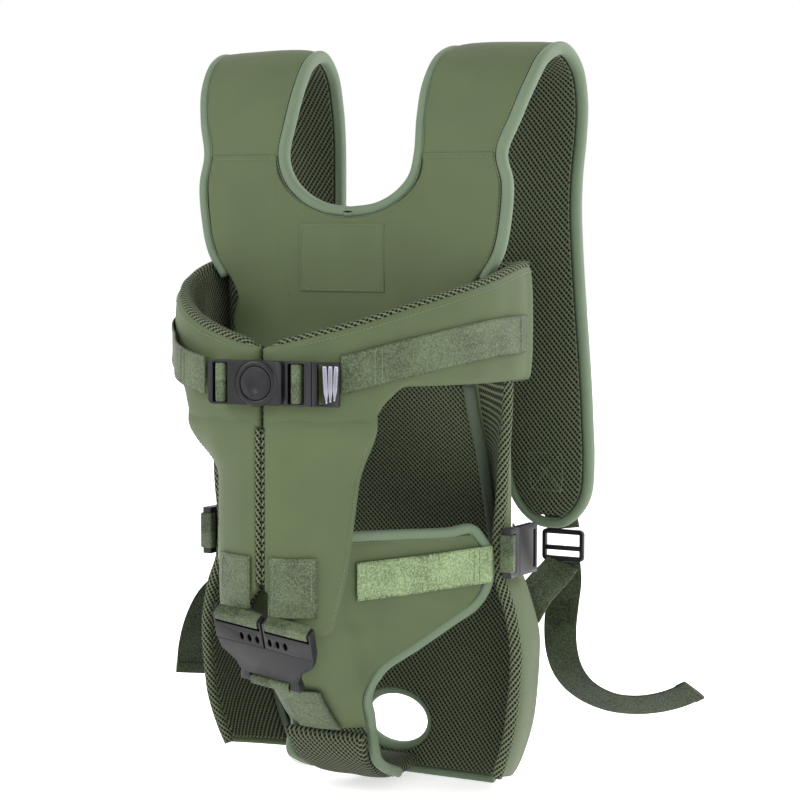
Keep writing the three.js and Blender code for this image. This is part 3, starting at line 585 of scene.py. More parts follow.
# ---- shared sizes of the vest, as in the frame --------------------------------------------
vest = {
    "seamGap": 0.4, "seamLap": 1.6, "layGap": 0.3, "bindingWidth": 8.0, "edgeInset": 8.9,
    "backWall": 8.0, "liningWall": 3.0, "seamHeight": -86.0, "neckDepth": 43.0, "neckHalf": 60.0,
    "panelBottom": -614.0, "liningTop": -270.0, "strapTipStart": 0.905, "tipPower": 2.6,
    "panelHalf": [(-86, 142), (-110, 147), (-148, 144), (-175, 135), (-190, 124), (-210, 116), (-312, 113),
                  (-400, 108), (-450, 122), (-490, 131), (-540, 128), (-585, 115), (-614, 98)],
    "panelDepth": [(-86, -16), (-198, -15), (-240, -10), (-290, 6), (-340, 32), (-400, 56), (-480, 68),
                   (-614, 68)],
    "strapInner": [(0, 60), (0.12, 57), (0.3, 66), (0.5, 70), (0.8, 80), (1, 86)],
    "strapOuter": [(0, 142), (0.12, 158), (0.3, 166), (0.5, 156), (0.8, 164), (1, 167)],
    "strapPath": [(-16, -86), (-4, -45), (16, -13), (44, 0), (72, -13), (88, -50), (95, -120),
                  (99, -210), (103, -310), (106, -395)],
}


def halfAt(z):
    return along(vest["panelHalf"], z)


def depthAt(z):
    return along(vest["panelDepth"], z)


def cutHole(piece, hole):  # cuts an upright oval through a piece, along Y
    turn = np.linspace(0, 2 * np.pi, 96, endpoint=False)
    ring = xyz(hole["half"][0] * np.cos(turn), 0, hole["height"] + hole["half"][1] * np.sin(turn))
    points = np.vstack([ring + (0, -60, 0), ring + (0, 160, 0)]) * millimetre
    n = len(turn)
    walls = [[i, n + i, n + (i + 1) % n, (i + 1) % n] for i in range(n)]
    mesh = bpy.data.meshes.new("cutter")
    mesh.from_pydata(points.tolist(), [], walls + [list(range(n)), list(range(n, 2 * n))[::-1]])
    cutter = addObject("cutter", mesh)
    change = piece.modifiers.new("hole", "BOOLEAN")
    change.operation, change.object, change.solver = "DIFFERENCE", cutter, "EXACT"
    bpy.context.view_layer.objects.active = piece
    bpy.ops.object.modifier_apply(modifier=change.name)
    bpy.data.objects.remove(cutter)


def bothSides(make):  # right as it is, left mirrored
    for side, mirror in (("right", False), ("left", True)):
        make(side, mirror)


# ---- back panel ---------------------------------------------------------------------------
tailHole = {"height": -567.0, "half": (34.0, 25.0), "ring": (8.5, 12.5), "slack": 2.5, "ringSet": 1.6}
back = {
    "liningOff": 1.9, "liningInset": 10.0, "hemEnds": (5.0, 6.0), "hemSet": 1.5,
    "rowSet": 4.4, "rowRise": 4.6,
}


# u runs from edge to edge in four equal lobes, v up from the hem. The notch's top is a half oval,
# and beside it the panel reaches up to the shoulder seam.
def backSurface(u, v):
    inset = vest["edgeInset"]
    notch = (vest["neckHalf"] + inset) / (halfAt(vest["seamHeight"]) - inset)
    fromMiddle = np.abs(2 * u - 1) * 2
    q = np.where(fromMiddle > 1, mix(notch, 1, fromMiddle - 1), notch * np.sin(fromMiddle * np.pi / 2))
    drop = (vest["neckDepth"] + inset) * np.sqrt(np.maximum(0, 1 - (q / notch) ** 2))
    top = vest["seamHeight"] + vest["seamLap"] - np.where(fromMiddle < 1, drop, 0)
    z = mix(vest["panelBottom"] + inset, top, 1 - (1 - v) ** 1.6)
    edge = mix(inset, vest["seamGap"], ease(-z, 200, 222))
    return xyz(np.where(u < 0.5, -1, 1) * q * (halfAt(z) - edge), depthAt(z), z)


def liningSurface(u, v):
    z = mix(vest["panelBottom"] + vest["edgeInset"], vest["liningTop"], v)
    half = halfAt(z) - back["liningInset"]
    return xyz(mix(-half, half, u), depthAt(z), z)


def makeBack():
    folds = lambda u, v, s, t: waves(s, t, 0.5, 130, 11) - 0.8 * ease(t, 470, 500)
    panel = softPanel("back_cover", backSurface, 110, 120, vest["backWall"], coverFinish, "back_panel",
                      edge=3.2, lift=folds)
    height, half = tailHole["height"], tailHole["half"]
    opening = {"height": height, "half": tuple(h + tailHole["slack"] for h in half)}
    cutHole(panel, opening)
    under = raised(liningSurface, (vest["backWall"] + vest["liningWall"]) / 2 + back["liningOff"])
    quilt = lambda u, v, s, t: 0.8 * np.sin(np.pi * u) * np.sin(np.pi * v) + waves(s, t, 0.5, 90, 5)
    lining = softPanel("back_mesh", under, 70, 90, vest["liningWall"], meshFinish, "back_lining", edge=2.0,
                       lift=quilt)
    cutHole(lining, opening)
    turn = np.linspace(0, 2 * np.pi, 120)
    ring = xyz(half[0] * np.cos(turn), depthAt(height) - tailHole["ringSet"], height + half[1] * np.sin(turn))
    sweep("tail_hole_tape", ring[:-1], (0, -1, 0), roundSection(*tailHole["ring"], 2.3, 24), bindingFinish,
          "tail_hole_binding", closed=True)
    tape, bottom = vest["bindingWidth"], vest["panelBottom"]
    hemZ = bottom + vest["edgeInset"] - tape / 2 - vest["layGap"]
    first, last = back["hemEnds"]
    hemX = np.linspace(1 - halfAt(bottom) + first, halfAt(bottom) - last, 60)
    hem = xyz(hemX, depthAt(bottom) - back["hemSet"], hemZ)
    sweep("hem_tape", hem, (0, -1, 0), roundSection(tape, tape + 2.5, 2.4, 24), bindingFinish, "hem_binding")
    row = xyz(hemX, depthAt(bottom) - back["rowSet"], hemZ + back["rowRise"])
    stitches("hem_stitches", row, (0, -1, 0), "binding")


patch = {"x": -6.0, "z": -170.0, "width": 80.0, "height": 56.0, "wall": 0.9, "row": (0.965, 0.95)}


def makePatch():  # a plain blank badge, sewn round its edge
    front = depthAt(patch["z"]) - vest["backWall"] / 2 - patch["wall"] / 2

    def surface(u, v):
        return xyz(patch["x"] + (u - 0.5) * patch["width"], front, patch["z"] + (v - 0.5) * patch["height"])
    softPanel("badge", surface, 30, 24, patch["wall"], patchFinish, "chest_patch", edge=0.8)
    x, z = (roundSection(patch["width"], patch["height"], 9, 80) * patch["row"]).T
    ring = xyz(patch["x"] + x, front - 0.75, patch["z"] + z)
    stitches("badge_stitches", np.vstack([ring, ring[:1]]), (0, -1, 0), "cover", 2.6, 1.9, 0.5)


# ---- shoulder straps ----------------------------------------------------------------------
strap = {"wall": 6.0, "lining": 3.0, "tape": (8.6, 11.0), "tip": 0.975, "liningOff": 1.4, "tapeSet": 1.3}
strapLine = smoothLine([(0, y, z) for y, z in vest["strapPath"]])


# u runs from the inner to the outer edge, v along the middle line; the end narrows as the root
# of 1 - 0.93 times the share of the end raised to the tip's power.
def strapSurface(inset):
    def surface(u, v):
        point = pointAt(strapLine, v)
        end = np.maximum(0, (v - vest["strapTipStart"]) / (1 - vest["strapTipStart"]))
        inner, outer = along(vest["strapInner"], v), along(vest["strapOuter"], v)
        half = (outer - inner) / 2 * np.sqrt(1 - 0.93 * end ** vest["tipPower"]) - inset * (1 + 0.5 * end)
        return xyz((inner + outer) / 2 + half * (2 * u - 1), point[..., 1], point[..., 2])
    return surface


def strapNormal(v):
    step = 0.004
    ahead = pointAt(strapLine, np.minimum(v + step, 1)) - pointAt(strapLine, np.maximum(v - step, 0))
    return unit(np.cross((1, 0, 0), ahead))


# The taped edge: up the panel's side, round the strap's outer edge and tip, back along its
# inner edge and down into the neck notch.
def tapePath():
    inset = vest["bindingWidth"] / 2
    sides = [(halfAt(z) - inset, depthAt(z), z) for z in (-186, -165, -140, -110)]
    surface = strapSurface(inset)
    steps = np.append(np.arange(18) / 18, [0.965, 0.98, 0.99, 0.997])
    outer, inner = surface(np.ones(22), steps), surface(np.zeros(22), steps[::-1])
    half, drop, y = vest["neckHalf"] + inset, vest["neckDepth"] + inset, depthAt(-100)
    neck = [(-4.0, y, vest["seamHeight"] - drop)]
    for share in (0.4, 0.72, 0.92):
        neck.insert(0, (half * share, y, vest["seamHeight"] - drop * math.sqrt(1 - share ** 2)))
    points = np.vstack([sides, outer, inner, neck])
    flat = np.tile((0.0, -1.0, 0.0), (len(sides), 1))
    normals = np.vstack([flat, strapNormal(steps), strapNormal(steps[::-1]), flat])
    return points, normals


def linePair(points, values, spacing):  # an even line with values carried along it
    fine, run = smoothLine(points, 2400)
    nearest = [int(np.argmin(np.linalg.norm(fine - p, axis=1))) for p in points]
    at = np.linspace(0, run[-1], max(8, int(run[-1] / spacing)))
    knots = run[np.maximum.accumulate(nearest)] + np.arange(len(points)) * 1e-6
    path = np.stack([np.interp(at, run, fine[:, k]) for k in range(3)], axis=-1)
    return path, unit(np.stack([np.interp(at, knots, values[:, k]) for k in range(3)], axis=-1))


def makeStraps(side, mirror):
    inset = vest["edgeInset"] - 1.6

    def cover(u, v):
        drop = xyz(0, 0, vest["seamLap"] * (1 - ease(v, 0, 0.05)))
        return strapSurface(inset)(u, mix(0, strap["tip"], v)) - drop
    folds = lambda u, v, s, t: waves(s, t, 0.5, 95, 23) + 0.9 * np.sin(np.pi * u) * ease(v, 0.02, 0.15)
    pad = softPanel(f"strap_cover_{side}", cover, 46, 190, strap["wall"], coverFinish,
                    f"shoulder_strap_{side}", edge=2.6, puff=1.0, puffReach=18, lift=folds, mirror=mirror)
    inside = raised(strapSurface(inset + 1), -(strap["wall"] + strap["lining"]) / 2 - strap["liningOff"])
    lining = lambda u, v: inside(1 - u, mix(0.012, 0.985, v))
    quilt = lambda u, v, s, t: 1.2 * np.sin(np.pi * u) ** 0.7 * ease(v, 0, 0.05) + waves(s, t, 0.4, 60, 31)
    softPanel(f"strap_mesh_{side}", lining, 40, 190, strap["lining"], meshFinish, f"strap_lining_{side}",
              edge=2.0, lift=quilt, mirror=mirror)
    path, normals = linePair(*tapePath(), 3.2)
    centre = path - normals * strap["tapeSet"]
    sweep(f"strap_tape_{side}", centre, normals, roundSection(*strap["tape"], 2.5, 26), bindingFinish,
          f"strap_binding_{side}", mirror=mirror)
    across = unit(np.cross(unit(np.gradient(path, axis=0)), normals))
    inward = 1 if np.dot(across[len(path) // 4], (1, 0, 0)) < 0 else -1
    for name, lift, shift in (("outer", 3.1, 4.6), ("inner", -7.2, 4.4)):
        row = path + across * inward * shift + normals * lift
        stitches(f"strap_stitches_{name}_{side}", row[3:-2], normals[3:-2] * np.sign(lift), "binding",
                 3.3, 2.5, 0.7, mirror)
    seam = strapSurface(12)(np.linspace(0, 1, 30), np.full(30, 0.0)) + (0, -4.0, -3.0)
    stitches(f"seam_stitches_{side}", seam, (0, -1, 0), "cover", 3.0, 2.2, 0.55, mirror)


# A box of stitches with its two diagonals, on surface(u, v) between two corners.
def crossBox(name, surface, low, high, lift, mirror=False, flip=1):
    corners = [(low[0], low[1]), (high[0], low[1]), (high[0], high[1]), (low[0], high[1])]
    lines = [(corners[i], corners[(i + 1) % 4]) for i in range(4)]
    lines += [(corners[0], corners[2]), (corners[1], corners[3])]
    share, step = np.linspace(0, 1, 24), 0.01
    for number, (a, b) in enumerate(lines):
        u, v = mix(a[0], b[0], share), mix(a[1], b[1], share)
        across = surface(u + step, v) - surface(u - step, v)
        upward = surface(u, v + step) - surface(u, v - step)
        normal = unit(np.cross(across, upward)) * flip
        stitches(f"{name}_{number}", surface(u, v) + normal * lift, normal, "webbing", 2.6, 2.0, 0.7, mirror)


makeBack()
makePatch()
bothSides(makeStraps)
print("back and straps made")


# ---- collar and chest flaps ---------------------------------------------------------------
collar = {
    "axes": (148.0, 152.0), "flatness": 2.0, "centre": -3.0, "wall": 14.0, "sweep": 96.0, "turn": 78.0,
    "slit": 2.5, "pull": {"out": 2.0, "back": 46.0, "rest": 131.0, "end": 113.0},
    "top": [(0, -236), (72, -218), (128, -202), (184, -188), (262, -173), (330, -176)],
    "bottom": [(0, -300), (84, -299), (101, -279), (118, -267), (240, -267), (330, -272)],
}
flap = {
    "radius": 70.0, "centre": -85.0, "wall": 8.0, "lining": 3.0,
    "reach": [(-470, 60), (-455, 61), (-434, 67), (-409, 73), (-384, 77.5), (-345, 84), (-316, 91),
              (-300, 94)],
    "bottom": [(0, -424), (22, -447), (38, -462), (50, -462), (60, -456)],
    "tuck": 24.0, "blend": (298, 344),
}
sweepAngle = math.radians(collar["sweep"])
sweepArc = sweepAngle * sum(collar["axes"]) / 2


# An oval: the radius at angle a is ((sin a / half)^n + (cos a / deep)^n)^(-1/n). Past the sweep,
# a cubic curve with four control points turns the band in behind the back panel.
def collarPlan(s, z, inset):
    half, deep = (axis - inset for axis in collar["axes"])
    n = collar["flatness"]
    a = np.minimum(s / sweepArc, 1) * sweepAngle
    radius = ((np.abs(np.sin(a)) / half) ** n + (np.cos(a) / deep) ** n) ** (-1 / n)
    x, y = radius * np.sin(a), collar["centre"] - radius * np.cos(a)
    t = np.clip((s - sweepArc) / collar["turn"], 0, 1)
    endY = depthAt(z) + vest["backWall"] / 2 + vest["layGap"] + 3
    pull = collar["pull"]
    before, near, far, last = (1 - t) ** 3, 3 * t * (1 - t) ** 2, 3 * t * t * (1 - t), t ** 3
    px = before * x + near * (half + pull["out"]) + far * pull["rest"] + last * pull["end"]
    py = before * y + near * pull["back"] + (far + last) * endY
    return xyz(np.where(t > 0, px, x), np.where(t > 0, py, y), z)


def collarSurface(inset, start, end, low=0.0, high=1.0):
    def surface(u, v):
        s = mix(start, end, u)
        z = mix(along(collar["bottom"], s), along(collar["top"], s), mix(low, high, v))
        return collarPlan(s, z, inset)
    return surface


def flapPlan(s, z, inset):  # the collar's oval at the top, a round column below
    low, radius = s / flap["radius"], flap["radius"] - inset
    column = xyz(radius * np.sin(low), flap["centre"] - radius * np.cos(low), z)
    return mix(collarPlan(s, z, inset), column, ease(-z, *flap["blend"])[..., None])


def flapSurface(inset, start=None, high=1.5):  # high: how far it reaches above the collar's seam
    def surface(u, v):
        guess = mix(collar["slit"], flap["reach"][0][1], u)
        z = mix(along(flap["bottom"], guess), along(collar["bottom"], guess) + high, v)
        return flapPlan(mix(collar["slit"] if start is None else start, along(flap["reach"], z), u), z, inset)
    return surface


def makeCollar(side, mirror):
    end = sweepArc + collar["turn"]
    start = 0.6 if side == "right" else 1.6
    thick = lambda u, v: 9.0 * mix(1, 0.5, ease(u, 0.7, 0.86))
    seed = 41 if side == "right" else 47

    def folds(u, v, s, t):  # slow puckers that run down from the top edge, and a crease by the slit
        pucker = waves(s, t * 0.3, 0.7, 46, seed) * np.sin(np.pi * np.clip(v, 0, 1)) ** 0.5
        crease = -1.3 * np.exp(-((s - 26 - 0.35 * t) / 9) ** 2) * ease(v, 0.15, 0.6)
        return pucker + crease
    surface = collarSurface(collar["wall"] / 2 - 1.6, start, end, 0.0, 0.97)
    pad = softPanel(f"collar_cover_{side}", surface, 130, 40, thick, coverFinish, f"collar_{side}", edge=5.0,
                    puff=2.0, puffReach=26, lift=folds, back=0.4, mirror=mirror)
    inside = collarSurface(collar["wall"] - 2.5, start, end, 0.03, 0.98)
    softPanel(f"collar_mesh_{side}", lambda u, v: inside(1 - u, v), 110, 30, 5.0, meshFinish, edge=2.4,
              puff=1.6, puffReach=24, mirror=mirror)
    # the mesh rolls over the top edge and down the slit as a soft round lip
    s = np.linspace(1.5, end, 150)
    top = collarPlan(s, along(collar["top"], s) - 2.2, collar["wall"] / 2 + 0.2)
    slitZ = np.linspace(-296, along(collar["top"], 0) - 8, 16)
    low = collarPlan(np.full(16, start + 3.2), slitZ, collar["wall"] / 2 + 0.6)
    corner = evenPoints(np.vstack([low[::3], top[6::6]]), 1.8)
    normals = unit((corner - (0, collar["centre"], 0)) * (1, 1, 0))
    lip = {"right": (6.8, 8.8), "left": (8.2, 9.8)}[side]
    girth = lambda t: 0.82 + 0.18 * ease(t, 0.1, 0.3) + 0.03 * np.sin(t * 61)
    sweep(f"collar_lip_{side}", corner, normals, roundSection(*lip, 2.2, 26), edgeMeshFinish, mirror=mirror,
          swell=girth)
    angle = s / sweepArc * sweepAngle
    row = collarPlan(s, along(collar["top"], s) - 7.6, 0.2) + 0.6 * xyz(np.sin(angle), -np.cos(angle), 0)
    outward = (row - (0, collar["centre"], 0)) * (1, 1, 0)
    stitches(f"collar_stitches_{side}", row[14:-30], outward[14:-30], "cover", 3.2, 2.3, 0.55, mirror)


def makeFlap(side, mirror):
    right = side == "right"
    seed = 53 if right else 59

    def folds(u, v, s, t):
        drag = waves(s, t * 0.35, 0.7, 52, seed) * ease(v, 0, 0.2)
        tuck = ease(v, 1 - 26 / t[-1:], 1) * -5.0  # the top sinks behind the collar's surface
        return drag + tuck
    surface = flapSurface(flap["wall"] / 2 + 0.2, 2.2 if right else 4.4, flap["tuck"])
    pad = softPanel(f"flap_cover_{side}", surface, 64, 84, flap["wall"], coverFinish, f"chest_flap_{side}",
                    edge=4.2, puff=1.0, puffReach=20, lift=folds, mirror=mirror)
    under = raised(flapSurface(flap["wall"] / 2 + 1), -(flap["wall"] + flap["lining"]) / 2 - 1.4)
    inner = lambda u, v: under(1 - mix(0.02, 0.98, u), mix(0.03, 0.92, v))
    softPanel(f"flap_mesh_{side}", inner, 44, 60, flap["lining"], meshFinish, f"flap_lining_{side}", edge=1.8,
              mirror=mirror)
    # the front edges are turned over a thin mesh lip beside the slit
    z = np.linspace(-422, -301, 60)
    edge = flapPlan(np.full(60, 1.9 if right else 3.4), z, 3.6)
    sweep(f"slit_lip_{side}", edge, (0, -1, 0), roundSection(3.4 if right else 6.0, 6.4, 2.2, 20),
          edgeMeshFinish, mirror=mirror)
    # a long row of stitches beside the edge at the arm
    v = np.linspace(0.06, 0.93, 60)
    row = raised(flapSurface(flap["wall"] / 2 + 0.6), flap["wall"] / 2 + 1.0)(np.full(60, 0.93), v)
    outward = unit(row - (0, flap["centre"], 0)) * (1, 1, 0)
    stitches(f"flap_stitches_{side}", row, outward, "cover", 3.2, 2.2, 0.5, mirror)


# ---- side walls ---------------------------------------------------------------------------
sides = {
    "wall": 5.0, "lining": 3.0, "hem": {"rear": 9.0, "front": 24.0}, "top": -262.0, "lip": (9.4, 9.8),
    "seam": (6.0, 9.0),
    "lipX": [(-262, 141.5), (-290, 141), (-330, 138), (-365, 136), (-400, 133), (-425, 135), (-455, 145),
             (-490, 150), (-540, 146), (-590, 131), (-614, 118)],
    "lipY": [(-262, -6), (-540, -6), (-614, 2)],
}


def sideBottom(u):
    return vest["panelBottom"] + mix(sides["hem"]["rear"], sides["hem"]["front"], u)


# u runs from the back panel's edge to the front lip with a slight outward bow, v from the hem up.
def sideSurface(u, v):
    z = mix(sideBottom(u), sides["top"], v)
    rearX = halfAt(z) - 1.0
    rearY = depthAt(z) + vest["backWall"] / 2 - 1
    x = mix(rearX, along(sides["lipX"], z), u) + 4 * np.sin(np.pi * u)
    return xyz(x, mix(rearY, along(sides["lipY"], z), u), z)


def makeSide(side, mirror):
    seed = 61 if side == "right" else 67
    folds = lambda u, v, s, t: waves(s, t * 0.6, 0.9, 60, seed) + 1.0 * np.sin(np.pi * u) * ease(v, 0, 0.2)
    outside = lambda u, v: sideSurface(1 - u, v)
    softPanel(f"side_cover_{side}", outside, 44, 90, sides["wall"], coverFinish, f"side_wall_{side}",
              edge=2.6, lift=folds, mirror=mirror)
    under = raised(outside, -(sides["wall"] + sides["lining"]) / 2 - 1.2)
    inner = lambda u, v: under(1 - mix(0.0, 0.98, u), mix(0.01, 0.99, v))
    softPanel(f"side_mesh_{side}", inner, 40, 90, sides["lining"], meshFinish, f"side_lining_{side}",
              edge=1.8, mirror=mirror)
    lip = sideSurface(np.full(110, 1.0), np.linspace(0.0, 1.0, 110)) + xyz(-1.5, -0.5, 0)
    girth = lambda t: 0.85 + 0.15 * np.sin(np.pi * t) ** 0.5 + 0.02 * np.sin(t * 47)
    sweep(f"side_lip_{side}", lip, (1, 0, 0), roundSection(*sides["lip"], 2.2, 26), edgeMeshFinish,
          mirror=mirror, swell=girth)
    # a bound seam stands where the lining meets the back; its tape is darkened as painted shade inside the
    # vest
    z = np.linspace(-597, -272, 90)
    seam = xyz(halfAt(z) - 7, depthAt(z) - vest["backWall"] / 2 - 6.5, z)
    sweep(f"inner_seam_{side}", seam, (-0.6, -0.8, 0), roundSection(*sides["seam"], 2.6, 20),
          bindingShadedFinish, mirror=mirror)


# ---- crotch panel -------------------------------------------------------------------------
crotch = {
    "wall": 5.0, "top": -384.0, "low": -550.0, "tape": 8.4, "rollHalf": {"front": 37.0, "rear": 24.0},
    "rollWall": 12.0,
    "wing": [(0, -137.5), (25, -131.5), (40, -113.4), (48.5, -90), (76, -66), (104, -36), (133, -4)],
    "line": [(-384, 0), (-430, 0), (-462, 10), (-495, 28), (-525, 50), (-550, 76)],
    "reach": [(-384, 172), (-397, 184), (-412, 190), (-430, 188), (-445, 178), (-462, 150), (-480, 118),
              (-500, 84), (-520, 60), (-552, 46)],
    "roll": [(-59, -555), (-47, -574), (-18, -592), (22, -600), (58.6, -600)],
}
wingLine = smoothLine([(x, y, 0) for x, y in crotch["wing"]])


def crotchPoint(s, z):  # arc s from the middle along the wing's plan, set back by the height
    point = pointAt(wingLine, np.minimum(np.abs(s) / wingLine[1][-1], 1))
    return xyz(np.sign(s) * point[..., 0], point[..., 1] + along(crotch["line"], z), z)


def crotchSurface(u, v):
    z = mix(crotch["low"], crotch["top"] - 6.0, v)
    return crotchPoint((2 * u - 1) * (along(crotch["reach"], z) - 8.5), z)


def rollSurface(u, v):
    point = pointAt(rollLine, 1 - v)
    half = mix(crotch["rollHalf"]["rear"], crotch["rollHalf"]["front"], v)
    return xyz((2 * u - 1) * half, point[..., 1], point[..., 2])


rollLine = smoothLine([(0, y, z) for y, z in crotch["roll"]])


def makeCrotch():
    def folds(u, v, s, t):  # pulled towards the buckle at the lower middle
        pull = np.exp(-(s - s[:, -1:] / 2) ** 2 / 900) * np.exp(-((v - 0.25) / 0.2) ** 2)
        return waves(s, t, 0.8, 80, 71) - 1.4 * pull + waves(s * 0.4, t * 1.6, 0.5, 50, 73)
    panel = softPanel("crotch_cover", crotchSurface, 150, 70, crotch["wall"], coverFinish, "crotch_panel",
                      edge=2.6, lift=folds)
    quilt = lambda u, v, s, t: waves(s, t, 0.6, 40, 79)
    seat = softPanel("seat_roll", rollSurface, 60, 70, crotch["rollWall"], meshFinish, "crotch_roll",
                     edge=6.0, puff=0.6, puffReach=20, lift=quilt)


# The taped edge: along the top of the wing, round its tip, down to the middle and along the roll.
def makeCrotchTape(side, mirror):
    inset = vest["bindingWidth"] / 2
    top = np.array(crotch["top"] - inset)
    points = [crotchPoint(np.array(float(s)), top) for s in (0, 30, 60, 110, 150)]
    for z in (-386, -394, -405, -418, -432, -447, -462, -480, -500, -520, -540, -552):
        points.append(crotchPoint(along(crotch["reach"], z) - inset, np.array(float(z))))
    beside = (crotch["rollHalf"]["front"] + inset, 0, 0)
    for share in (0.8, 0.65, 0.5):
        points.append(rollSurface(np.array(1.0), np.array(share)) * (0, 1, 1) + beside)
    path = evenPoints(np.array(points), 2.4)
    # the wing's outward side, from its plan
    plan = wingLine[0]
    nearest = np.argmin((plan[None, :, 0] - path[:, None, 0]) ** 2, axis=1)
    ahead = unit(np.gradient(plan, axis=0))[nearest]
    normals = unit(xyz(ahead[:, 1], -ahead[:, 0], 0))
    sweep(f"crotch_tape_{side}", path, normals, roundSection(crotch["tape"], crotch["tape"], 2.6, 26),
          bindingFinish, f"crotch_binding_{side}", mirror=mirror)
    across = unit(np.cross(unit(np.gradient(path, axis=0)), normals))
    row = path + across * 4.9 + normals * 2.4
    stitches(f"crotch_stitches_{side}", row[3:-3], normals[3:-3], "binding", 3.2, 2.3, 0.6, mirror)


bothSides(makeCollar)
bothSides(makeFlap)
bothSides(makeSide)
makeCrotch()
bothSides(makeCrotchTape)
print("collar, flaps, sides and crotch panel made")


# ---- webbing ------------------------------------------------------------------------------
web = {
    "width": 30.0, "wall": 1.9, "tab": 38.0, "end": 244.0, "start": {"left": 46.0, "right": 66.0},
    "rise": [(0, -264), (60, -258), (110, -246), (160, -236), (200, -231), (250, -229)],
    "lift": {"left": [(0, 9), (84, 9), (120, 2.6), (230, 1.6)],
             "right": [(0, 2.4), (84, 3.4), (110, 2.6), (230, 1.6)]},
    "strapEndY": 106.0, "strapGap": 1.2,
    "anchor": [(133, 114, -428.6), (130, 106, -436), (122, 86, -452), (115, 76, -470)],
}


# A strip of webbing whose cloth runs along u: the weave is laid with its length in that direction.
def strip(name, side, mirror, surface, columns, replaces, slack=None, finish=webbingFinish):
    sideways = lambda u, v: surface(v, 1 - u)
    lift = None if slack is None else (lambda u, v, s, t: slack(t, s))
    ribbonPanel(f"{name}_{side}", sideways, 14, columns, web["wall"], finish, replaces, mirror, lift)


# Rows of short stitches across a strip; without a facing they face away from the vest's middle.
def barTacks(name, side, mirror, surface, shares, lift, ends, count, pitch, thick, facing=None):
    for number, share in enumerate(shares):
        row = raised(surface, lift)(np.full(count, share), np.linspace(*ends, count))
        outward = row * (1, 1, 0) if facing is None else facing
        stitches(f"{name}_{number}_{side}", row, outward, "webbing", pitch, 1.3, thick, mirror)


def makeCollarWebbing(side, mirror):
    def band(u, v):
        s = mix(web["start"][side], web["end"], u)
        outward = web["wall"] / 2 + 0.3 + along(web["lift"][side], s)
        return collarPlan(s, along(web["rise"], s) + (v - 0.5) * web["width"], -outward)
    slack = lambda s, t: waves(s, t * 0.2, 0.5, 60, 83)
    strip("collar_web", side, mirror, band, 110, f"collar_webbing_{side}", slack)
    barTacks("bar_tack", side, mirror, band, (0.14, 0.17, 0.93), 1.5, (0.06, 0.94), 30, 1.5, 0.8)


def makeTabs(side, mirror):
    low = -447 if side == "right" else -442
    tab = lambda u, v: flapPlan(mix(8, 8 + web["tab"], u), mix(low, -400, v), -2.7)
    ribbonPanel(f"flap_tab_web_{side}", tab, 26, 30, web["wall"], tabFinish, f"flap_tab_{side}", mirror)
    crossBox(f"tab_cross_{side}", tab, (0.12, 0.32), (0.88, 0.92), 1.15, mirror)
    wingEnd = wingLine[1][-1] - 9
    wing = raised(lambda u, v: crotchPoint(mix(72, wingEnd, u), mix(-439, -409, v) + 10 * u), 5.4)
    # the wing webbing takes the lighter copy of the webbing, a painted highlight
    strip("wing_web", side, mirror, wing, 70, f"wing_webbing_{side}", finish=litWingFinish)
    barTacks("wing_tack", side, mirror, wing, (0.86, 0.9), 1.2, (0.08, 0.92), 24, 1.6, 0.7, (0.5, -0.86, 0))


def makeCrotchTab():
    tab = raised(lambda u, v: crotchPoint(mix(-19, 19, u), mix(-548, -512, v)), 5.0)
    ribbonPanel("crotch_tab_web", tab, 26, 26, web["wall"], tabFinish, "crotch_tab")
    crossBox("crotch_cross", tab, (0.1, 0.1), (0.9, 0.7), 1.15)


def makeBackWebbing(side, mirror):
    rear = web["strapEndY"] + strap["wall"] / 2 + web["strapGap"]
    fixed = [(128, rear - 1.3, -350), (131, rear + 2, -385), (133, 114, -399.8)]
    section = roundSection(web["width"], web["wall"], 6, 28)
    routes = (("strap_web", "strap_webbing", fixed), ("anchor_web", "lock_anchor", web["anchor"]))
    for name, node, route in routes:
        sweep(f"{name}_{side}", evenPoints(route, 2), (0, 1, 0), section, webbingFinish, f"{node}_{side}",
              mirror=mirror)

    def outside(u, v):
        forward = mix(0.62, 0.12, u)
        height = clip["z"] + (v - 0.5) * web["width"] - sideBottom(forward)
        return sideSurface(forward, height / (sides["top"] - sideBottom(forward)))
    strip("clip_web", side, mirror, raised(outside, 5.4), 40, f"clip_anchor_{side}")
    # a box of stitches near the tip fixes the webbing through the strap
    lining = raised(strapSurface(vest["edgeInset"]), -(strap["wall"] / 2 + 1.6 + strap["lining"] + 1.2))
    centre = lambda u, v: lining(mix(0.26, 0.74, u), mix(0.885, 0.945, v))
    crossBox(f"strap_cross_{side}", centre, (0.0, 0.0), (1.0, 1.0), -0.6, mirror, -1)


# ---- buckles ------------------------------------------------------------------------------
buckle = {
    "place": (3.0, -156.0, -264.0), "turn": 4.0, "wall": 11.0, "ringRadius": 15.4, "ringWidth": 4.6,
    "loopX": {"left": -31.4, "right": 33.0}, "tongueWall": 6.8,
}
threeWay = {"place": (0.0, -141.0, -474.0), "lean": 32.0, "tilt": -11.0, "wall": 8.0, "half": 42.5,
            "head": 33.0, "lowBar": -31.75, "lowWidth": 34.0}
clip = {"x": 143.4, "loopY": -12.4, "z": -405.0, "wall": 8.0}


def placed(place, *turns):  # a place and turns about axes as one matrix, in millimetres
    matrix = Matrix.Translation(place)
    for axis, degrees in turns:
        matrix = matrix @ Matrix.Rotation(math.radians(degrees), 4, axis)
    return np.array(matrix)


buckleFrame = placed(buckle["place"], ("Z", buckle["turn"]), ("X", 90))
threeWayFrame = placed(threeWay["place"], ("X", 90 + threeWay["lean"]), ("Z", threeWay["tilt"]))
plainFrame = placed((0, 0, 0))


def put(matrix, points):
    points = np.asarray(points, float)
    return points @ matrix[:3, :3].T + matrix[:3, 3]


def turned(matrix, vectors):
    return np.asarray(vectors, float) @ matrix[:3, :3].T


